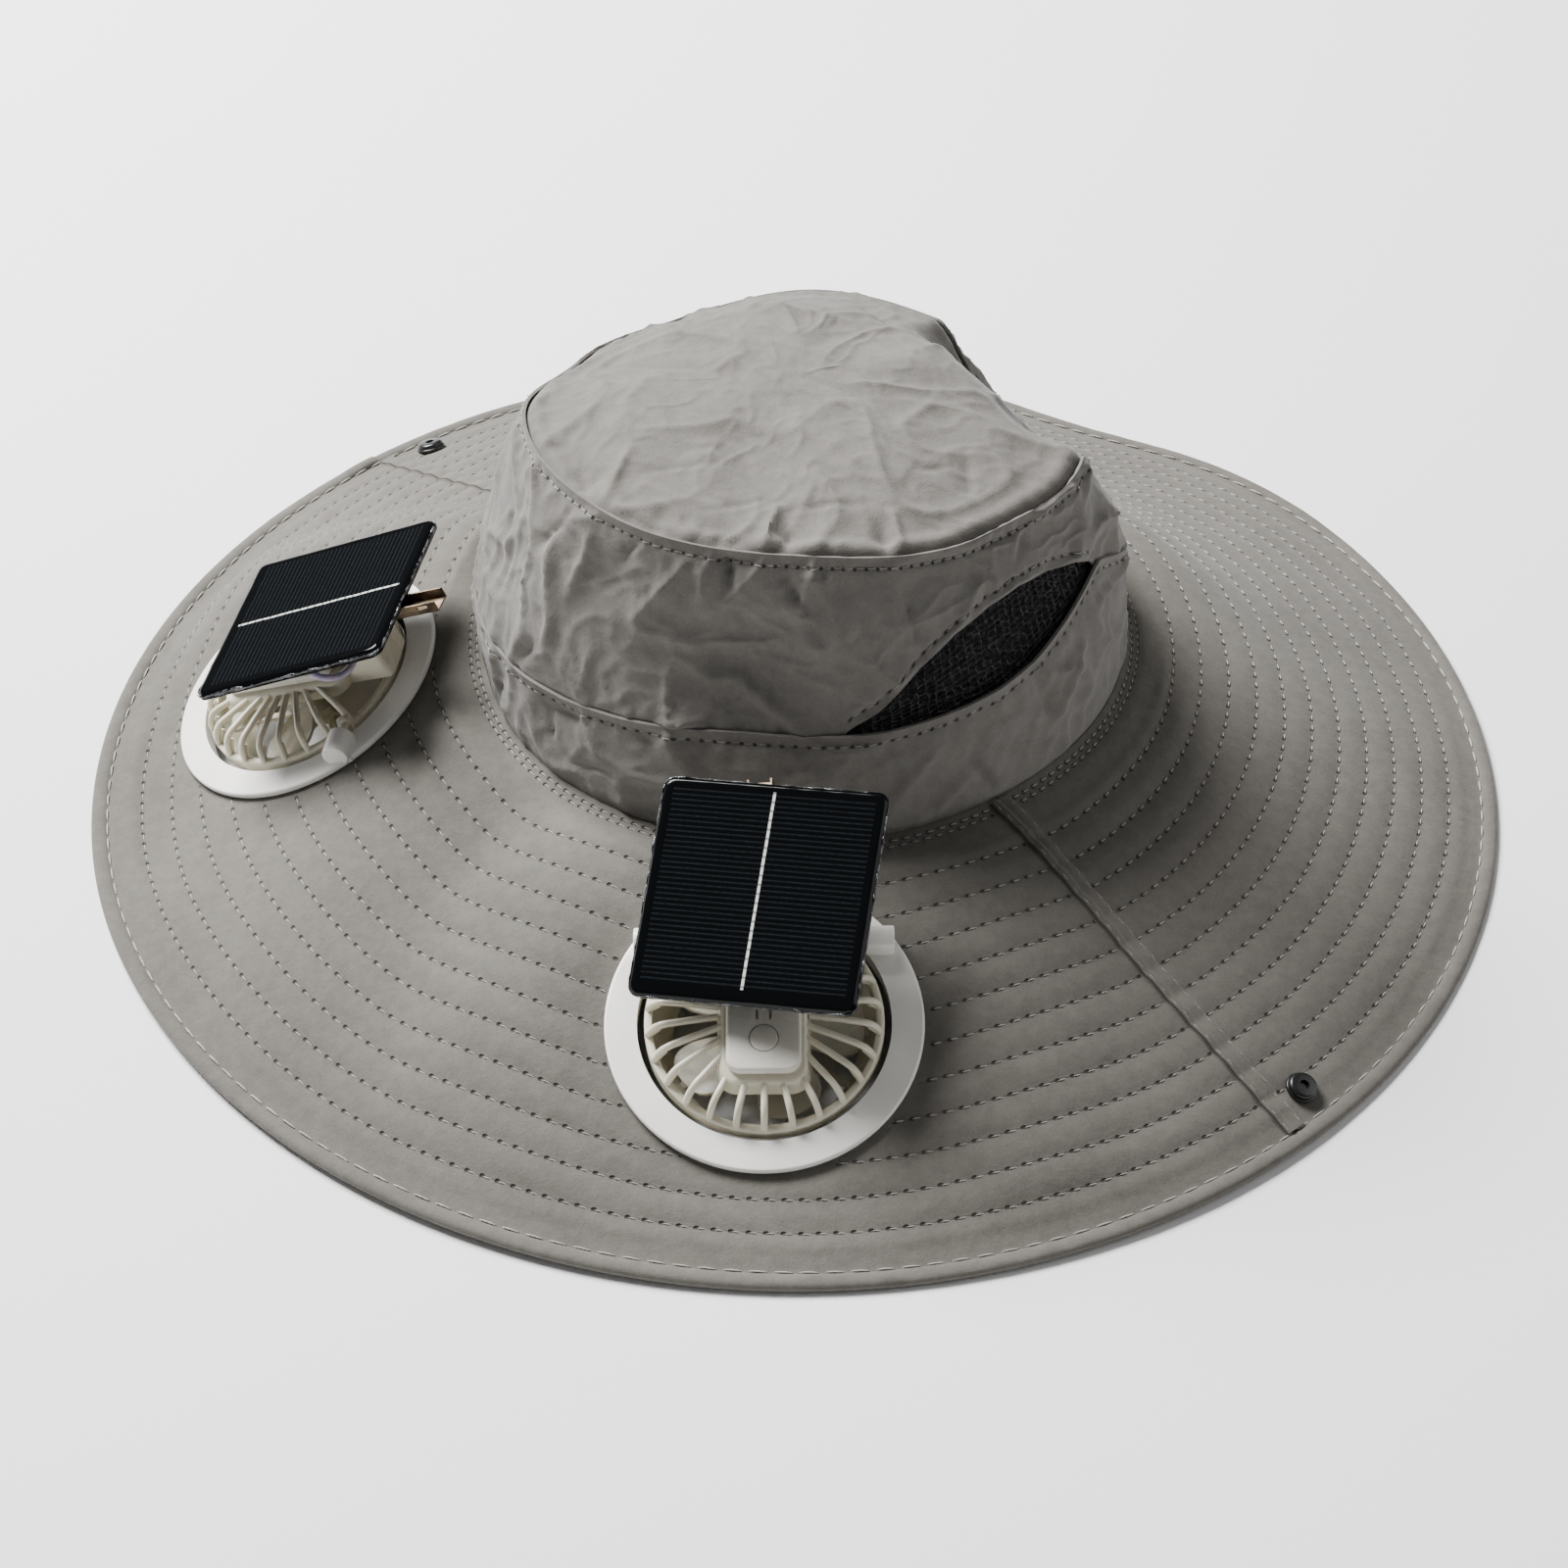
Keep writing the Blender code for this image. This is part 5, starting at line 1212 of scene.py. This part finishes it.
spokes = turnedCopies(spoke, [360.0 * (index + 0.5) / fan["spokes"] for index in range(fan["spokes"])])
disc = roundEdges(cylinder(fan["discRadius"], -fan["depth"], -fan["depth"] + 0.0021, sides=48), 0.0004, 2)
hub = block((-fan["hubHalf"], fan["hubFront"], fan["hubLow"]),
            (fan["hubHalf"], fan["hubBack"], fan["hubHigh"]), 0.0055, 8)
pick(hub)
for vertex in hub.data.vertices:  # the frame flares towards the ribs
    if vertex.co.z > fan["hubHigh"] - 0.0001:
        vertex.co.x *= 0.90
        vertex.co.y = fan["hubBack"] + (vertex.co.y - fan["hubBack"]) * 0.955
roundEdges(hub, 0.0011, 4)
motor = roundEdges(cylinder(fan["motorRadius"], 0.0038, 0.0085, sides=64), 0.0005, 2)
neck = block((-fan["neckHalf"], fan["neckStart"], fan["neckLow"]),
             (fan["neckHalf"], fan["hingeY"] + fan["knuckle"], fan["neckTop"]), 0.0018, 4)
for vertex in neck.data.vertices:  # its front leans away from the hub
    if vertex.co.y < 0.028:
        rise = (vertex.co.z - fan["neckLow"]) / (fan["neckTop"] - fan["neckLow"])
        vertex.co.y += rise * fan["neckLean"]
roundEdges(neck, 0.0007, 3)
pin = rod(0.0008, (-0.0045, fan["hingeY"], fan["hingeZ"]), (0.0045, fan["hingeY"], fan["hingeZ"]), 16)
ears, pivots = [], []
for side in (-1, 1):
    ears.append(roundEdges(rod(fan["knuckle"], (side * fan["earIn"], fan["hingeY"], fan["hingeZ"]),
                               (side * fan["earOut"], fan["hingeY"], fan["hingeZ"]), 32), 0.0003, 2))
    ears.append(block((side * fan["earIn"], fan["hingeY"] - 0.0019, fan["neckTop"] - 0.0007),
                      (side * fan["earOut"], fan["hingeY"] + 0.0019, fan["hingeZ"])))
    inner = side * (math.sqrt(fan["rimRadius"] ** 2 - fan["tiltY"] ** 2) - 0.0012)
    pivots.append(rod(fan["pinRadius"], (inner, fan["tiltY"], fan["tiltZ"]),
                      (side * fan["pinEnd"], fan["tiltY"], fan["tiltZ"]), 16))
    lug = block((inner - 0.0013, fan["tiltY"] - 0.0015, fan["tiltZ"] - 0.0032),
                (inner + 0.0013, fan["tiltY"] + 0.0015, fan["tiltZ"] + 0.0021))
    pivots.append(roundEdges(lug, 0.0004, 2))
cage = joinPieces("cage", [rim, drum, disc, hub, motor, neck, pin] + ribs + feet + spokes + ears + pivots)
onBothFans(cage, "ribbed_cage", cageAbs, "cage_cream", "fan", "cage")

# power box with its button pocket and two status slits
box = block((-fan["boxHalf"], fan["boxFront"], fan["boxLow"]),
            (fan["boxHalf"], fan["boxBack"], fan["boxHigh"]), 0.0042, 8)
roundEdges(box, 0.0010, 4)
combine(box, [cylinder(fan["buttonRadius"] + fan["buttonGap"], fan["boxHigh"] - 0.0024,
                       fan["boxHigh"] + 0.002, (0, fan["buttonY"]), 64)], "DIFFERENCE")
combine(box, [block((side * fan["slitX"] - fan["slitHalf"], -0.0044, fan["boxHigh"] - 0.0010),
                    (side * fan["slitX"] + fan["slitHalf"], -0.0014, fan["boxHigh"] + 0.001))
              for side in (-1, 1)], "DIFFERENCE")
onBothFans(box, "power_cover", hubAbs, "cage_cream", "fan", "power_box")

button = cylinder(fan["buttonRadius"], fan["boxHigh"] - 0.0017, fan["boxHigh"] + 0.0002,
                  (0, fan["buttonY"]), 64)
roundEdges(button, 0.0004, 3)
onBothFans(button, "round_button", hubAbs, "cage_cream", "switch", "button")


# impeller: broad milky blades with rounded tips
def bladeSurface(along, chord):
    radius = fan["bladeHub"] - 0.0010 + (fan["bladeReach"] - fan["bladeHub"] + 0.0010) * along
    turn = math.radians(fan["bladeTurn"]) * (chord - 0.5) * (1.0 - 0.25 * along ** 4)
    radius = radius - 0.0028 * (np.abs(2 * chord - 1) ** 4) * along
    rise = fan["bladeHub"] * turn * math.tan(math.radians(fan["bladePitch"]))
    cup = 0.0010 * (1 - (2 * chord - 1) ** 2) * along
    return np.stack([radius * np.cos(turn), radius * np.sin(turn), 0.00025 + rise - cup], -1)


blade = clothGrid("blade", 16, 14, bladeSurface, wall=fan["bladeWall"])
blades = turnedCopies(blade, [360.0 * index / fan["blades"] for index in range(fan["blades"])])
boss = roundEdges(cylinder(fan["bladeHub"], fan["impellerLow"], fan["impellerHigh"], sides=72), 0.0010, 3)
impeller = joinPieces("impeller", [boss] + blades)
onBothFans(impeller, "impeller_blades", bladeResin, "blade_milky", "rotor", "impeller")
print("fans ready")

# Solar panels on their brass channels, built in the channel's frame

panel = {"size": 0.064, "floor": 0.0038, "high": 0.0064, "corner": 0.0034, "cells": 48, "rise": 0.0036,
         "skin": 0.0013, "board": 0.0013, "boardIn": 0.0002, "lines": 42, "dashes": 24, "barHalf": 0.0062}
channel = {"sheet": 0.0005, "leaf": 0.0035, "half": 0.0035, "head": 0.012, "tail": 0.028}
# side and back are shares of the panel's size, the rest degrees
panelPlaces = {"front": {"side": 0.0, "back": 0.100, "turn": -9.6, "rise": 6.0, "roll": 11.0},
               "left": {"side": -0.050, "back": 0.240, "turn": 4.4, "rise": 2.0, "roll": 9.5}}
wireRadius = 0.00115
# side, out and down as shares of the panel's size
wireRoute = [(0.080, -0.035, 0.050), (0.125, -0.010, 0.075), (0.190, 0.005, 0.110), (0.270, 0.015, 0.135),
             (0.345, -0.010, 0.130), (0.390, -0.060, 0.095), (0.400, -0.110, 0.050)]


def hingeFrame(which):
    return (fanFrames[which] @ Matrix.Translation((0, fan["hingeY"], fan["hingeZ"]))
            @ Matrix.Rotation(math.radians(panelPlaces[which]["rise"]), 4, "X"))


def channelFrame(which):
    roll = Matrix.Rotation(math.radians(-panelPlaces[which]["roll"]), 4, "Y")
    return hingeFrame(which) @ Matrix.Translation((0, 0, panel["rise"])) @ roll


def cellFrame(which):
    place = panelPlaces[which]
    shift = Matrix.Translation((place["side"] * panel["size"], -place["back"] * panel["size"], 0))
    return channelFrame(which) @ shift @ Matrix.Rotation(math.radians(place["turn"]), 4, "Z")


def cellMaterial():
    # Monocrystalline cell under poured epoxy: fine silver lines across, one soldered busbar along.
    material, tree = newMaterial("epoxyCell", Roughness=0.60, IOR=1.2, Coat_Weight=0.4, Coat_Roughness=0.09,
                                 Coat_IOR=1.5, Specular_IOR_Level=0.0)
    sheet = addNode(tree, "ShaderNodeUVMap", uv_map="cell").outputs["UV"]
    axes = addNode(tree, "ShaderNodeSeparateXYZ", links={"Vector": sheet})
    lines = addNode(tree, "ShaderNodeMath", {1: panel["lines"]}, {0: axes.outputs["Y"]},
                    operation="MULTIPLY")
    lines = addNode(tree, "ShaderNodeMath", links={0: lines.outputs[0]}, operation="FRACT")
    lines = addNode(tree, "ShaderNodeMath", {1: 0.5}, {0: lines.outputs[0]}, operation="SUBTRACT")
    lines = addNode(tree, "ShaderNodeMath", links={0: lines.outputs[0]}, operation="ABSOLUTE")
    lines = addNode(tree, "ShaderNodeMapRange",
                    {"From Min": 0.10, "From Max": 0.24, "To Min": 1.0, "To Max": 0.0},
                    {"Value": lines.outputs[0]}, interpolation_type="SMOOTHSTEP")
    masks = []
    for axis, middle, half in (("X", 0.5, 0.448), ("Y", 0.512, 0.446), ("X", 0.5, panel["barHalf"])):
        away = addNode(tree, "ShaderNodeMath", {1: middle}, {0: axes.outputs[axis]}, operation="SUBTRACT")
        away = addNode(tree, "ShaderNodeMath", links={0: away.outputs[0]}, operation="ABSOLUTE")
        mask = addNode(tree, "ShaderNodeMath", {1: half}, {0: away.outputs[0]}, operation="LESS_THAN")
        masks.append(mask.outputs[0])
    grain = addNode(tree, "ShaderNodeTexNoise", {"Scale": 60.0, "Detail": 3.0}, {"Vector": sheet})
    fine = addNode(tree, "ShaderNodeMath", links={0: masks[0], 1: masks[1]}, operation="MULTIPLY")
    for layer in (lines.outputs["Result"], grain.outputs["Fac"]):
        fine = addNode(tree, "ShaderNodeMath", links={0: fine.outputs[0], 1: layer}, operation="MULTIPLY")
    dark = addNode(tree, "ShaderNodeMix", {6: hexToLinear("#040506"), 7: hexToLinear("#1d2226")},
                   {0: fine.outputs[0]}, data_type="RGBA")
    dash = addNode(tree, "ShaderNodeMath", {1: panel["dashes"]}, {0: axes.outputs["Y"]},
                   operation="MULTIPLY")
    dash = addNode(tree, "ShaderNodeMath", links={0: dash.outputs[0]}, operation="FRACT")
    dash = addNode(tree, "ShaderNodeMapRange",
                   {"From Min": 0.70, "From Max": 0.82, "To Min": 1.0, "To Max": 0.35},
                   {"Value": dash.outputs[0]})
    bar = addNode(tree, "ShaderNodeMath", links={0: masks[2], 1: masks[1]}, operation="MULTIPLY")
    bar = addNode(tree, "ShaderNodeMath", links={0: bar.outputs[0], 1: dash.outputs["Result"]},
                  operation="MULTIPLY")
    colour = addNode(tree, "ShaderNodeMix", {7: hexToLinear("#c9c9c6")},
                     {0: bar.outputs[0], 6: dark.outputs[2]}, data_type="RGBA")
    ripple = addNode(tree, "ShaderNodeTexNoise", {"Scale": 9.0, "Detail": 1.0}, {"Vector": sheet})
    bump = addNode(tree, "ShaderNodeBump", {"Strength": 0.008, "Distance": 0.002},
                   {"Height": ripple.outputs["Fac"]})
    feedShader(tree, Base_Color=colour.outputs[2], Coat_Normal=bump.outputs["Normal"])
    return material


def clearEpoxy():
    # Clear epoxy that has run over the edge and set in drops, with painted glints as near-white spots in its
    # colour.
    material, tree = newMaterial("clearEpoxy", Roughness=0.06, IOR=1.52, Transmission_Weight=0.85)
    place = addNode(tree, "ShaderNodeTexCoord").outputs["Object"]
    dropsAndGlints = addNode(tree, "ShaderNodeTexNoise", {"Scale": 420.0, "Detail": 2.0}, {"Vector": place})
    # painted glints: the base colour runs from dark to near white over the drop noise
    tint = addNode(tree, "ShaderNodeValToRGB", links={"Fac": dropsAndGlints.outputs["Fac"]},
                   shades=((0.45, "#15181f"), (0.60, "#dcdfe2")))
    bump = addNode(tree, "ShaderNodeBump", {"Strength": 0.5, "Distance": 0.0004},
                   {"Height": dropsAndGlints.outputs["Fac"]})
    feedShader(tree, Base_Color=tint.outputs["Color"], Normal=bump.outputs["Normal"])
    return material


def brassSheet():
    # Stamped brass sheet, dulled by handling, with faint rolling marks.
    material, tree = newMaterial("brassSheet", Metallic=0.9, IOR=1.46)
    place = addNode(tree, "ShaderNodeTexCoord").outputs["Object"]
    tarnish = addNode(tree, "ShaderNodeTexNoise", {"Scale": 220.0, "Detail": 4.0}, {"Vector": place})
    tint = addNode(tree, "ShaderNodeValToRGB", links={"Fac": tarnish.outputs["Fac"]},
                   shades=((0.35, "#3f362c"), (0.70, "#7b6a57")))
    dull = addNode(tree, "ShaderNodeMapRange", {"To Min": 0.28, "To Max": 0.52},
                   {"Value": tarnish.outputs["Fac"]})
    feedShader(tree, Base_Color=tint.outputs["Color"], Roughness=dull.outputs["Result"])
    return material


def leadSheath():
    # Soft PVC tubing, pale lavender and slightly cloudy.
    material, tree = newMaterial("leadSheath", Roughness=0.32, IOR=1.53, Transmission_Weight=0.25,
                                 Subsurface_Weight=0.3, Subsurface_Scale=0.002)
    place = addNode(tree, "ShaderNodeTexCoord").outputs["Object"]
    cloud = addNode(tree, "ShaderNodeTexNoise", {"Scale": 300.0, "Detail": 2.0}, {"Vector": place})
    tint = addNode(tree, "ShaderNodeValToRGB", links={"Fac": cloud.outputs["Fac"]},
                   shades=((0.35, "#b0a8c4"), (0.65, "#cfc9dc")))
    feedShader(tree, Base_Color=tint.outputs["Color"])
    return material


cellEpoxy, epoxyEdge, brassPlate, sheathPvc = cellMaterial(), clearEpoxy(), brassSheet(), leadSheath()


def roundedSquare(x, y, half, corner):  # points of a square drawn in to round its corners
    inner = half - corner
    overX, overY = np.maximum(np.abs(x) - inner, 0), np.maximum(np.abs(y) - inner, 0)
    reach = np.hypot(overX, overY)
    both = (overX > 0) & (overY > 0)
    shrink = np.where(both, np.maximum(overX, overY) / np.maximum(reach, 1e-9), 1.0)
    return (np.sign(x) * (np.minimum(np.abs(x), inner) + overX * shrink),
            np.sign(y) * (np.minimum(np.abs(y), inner) + overY * shrink))


def cellSurface(u, v):
    half = panel["size"] / 2
    # closer lines towards the edge give the epoxy its rounded rim
    x, y = (np.sin((t - 0.5) * np.pi * 0.92) / np.sin(0.46 * np.pi) * half for t in (u, v))
    edge = 1 - np.maximum(np.abs(x), np.abs(y)) / half
    x, y = roundedSquare(x, y, half, panel["corner"])
    points = np.stack([x, y, 0 * x], -1) * 1000
    ragged = 1 - 0.006 * (0.5 + cloudy(points / 3.4)) * np.exp(-(edge / 0.03) ** 2)
    dip = 0.0011 * np.exp(-(edge / 0.020) ** 2) + 0.00010 * cloudy(points / 6.0 + 5)
    return np.stack([x * ragged, y * ragged, panel["high"] - 0.00005 - dip], -1)


cell = clothGrid("cell", panel["cells"], panel["cells"], cellSurface)
shares = gridShares(cell)
flat = cellSurface(shares[:, 0], shares[:, 1]) / panel["size"] + 0.5
sheet = cell.data.uv_layers.new(name="cell")
sheet.data.foreach_set("uv", flat[:, :2].ravel())
cell.data.uv_layers.remove(cell.data.uv_layers[0])
giveWall(cell, panel["skin"])
edge = panel["size"] / 2 - panel["boardIn"]
board = block((-edge, -edge, panel["floor"]), (edge, edge, panel["floor"] + panel["board"]), 0.003, 6)
cell = joinPieces("cell", [cell, board])
onBothFans(cell, "solar_cell", cellEpoxy, "solar_cell", "solar", "panel", cellFrame, 50)


def epoxyRun(along, around):  # a ragged bead round the panel's edge
    turn = 2 * np.pi * along
    x, y = np.cos(turn), np.sin(turn)
    stretch = 1 / np.maximum(np.abs(x), np.abs(y))
    x, y = roundedSquare(x * stretch * panel["size"] / 2, y * stretch * panel["size"] / 2, panel["size"] / 2,
                         panel["corner"])
    points = np.stack([x, y, 0 * x], -1) * 1000
    thick = 0.00028 + 0.00042 * np.clip(cloudy(points / 4.2 + 2) + 0.25 * cloudy(points / 1.4), 0, 1)
    out = np.stack([x, y], -1) / np.hypot(x, y)[..., None]
    section = 2 * np.pi * around
    reach = thick * np.cos(section) - 0.0002
    height = panel["floor"] + 0.0011 + 1.5 * thick * np.sin(section) + 0.0003 * cloudy(points / 5.0 + 7)
    return np.stack([x + out[..., 0] * reach, y + out[..., 1] * reach, height], -1)


run = clothGrid("run", 420, 10, epoxyRun, closed=True)
mergeDoubles(run, outwards=True)
onBothFans(run, "epoxy_edge", epoxyEdge, "solar_cell", "solar", None, cellFrame, 60)

base = block((-channel["half"], -channel["head"], 0.0), (channel["half"], channel["tail"], channel["sheet"]))
combine(base, [block((side * (channel["half"] - channel["sheet"]), -channel["head"], 0.0),
                     (side * channel["half"], channel["tail"], channel["leaf"])) for side in (-1, 1)])
combine(base, [block((0.001, 0.0215, 0.0016), (0.006, 0.0250, 0.0027))], "DIFFERENCE")  # slot in one leaf
roundEdges(base, 0.00018, 2)
onBothFans(base, "brass_channel", brassPlate, "bracket_brass", "solar", "panel_bracket", channelFrame)

knuckle = roundEdges(rod(fan["knuckle"], (-0.0028, 0, 0), (0.0028, 0, 0), 32), 0.0003, 2)
web = block((-0.0026, -0.0016, 0.0), (0.0026, 0.0016, 0.0038))
knuckle = joinPieces("knuckle", [knuckle, web])
onBothFans(knuckle, "hinge_knuckle", brassPlate, "bracket_brass", "solar", None, hingeFrame)

lowest = panel["floor"] - wireRadius - 0.0003
lead = smoothTube([(side * panel["size"], out * panel["size"], lowest + (0.05 - down) * panel["size"])
                   for side, out, down in wireRoute], wireRadius, 5)
onBothFans(lead, "lead_sheath", sheathPvc, "wire_sheath", "solar", "panel_wire", channelFrame, 60)
print("panels ready")

# Snap studs by the edge

snap = {"radius": 0.0047, "capShare": 0.90, "wellShare": 0.30, "height": 0.0026, "lift": 0.0001,
        "places": {"right": (314.3, 0.893), "left": (127.5, 0.890)}}  # azimuth and place across
for side, (turn, across) in snap["places"].items():
    high = snap["height"]
    stud = roundEdges(cylinder(snap["radius"], 0.0, high * 0.45, sides=64), 0.0005, 3)
    cap = roundEdges(cylinder(snap["radius"] * snap["capShare"], 0.0004, high, sides=64), 0.0011, 5)
    well = cylinder(snap["radius"] * snap["wellShare"], high * 0.62, high + 0.001, sides=48)
    combine(cap, [well], "DIFFERENCE")
    stud = joinPieces("snap_stud_" + side, [stud, cap])
    smoothShade(stud)
    spot, up = brimSurface(np.array([turn]), np.array([across]))
    ahead = brimSurface(np.array([turn + 0.5]), np.array([across]))[0]
    up = Vector(up[0])
    along = Vector(ahead[0] - spot[0]).normalized()
    stand = Matrix((along, up.cross(along), up)).transposed().to_4x4()
    stud.data.transform(Matrix.Translation(Vector(spot[0]) + up * snap["lift"]) @ stand)
    finish(stud, snapResin, "hat", "snap_black", "snap_" + side)
print("snaps set")

bpy.context.view_layer.update()
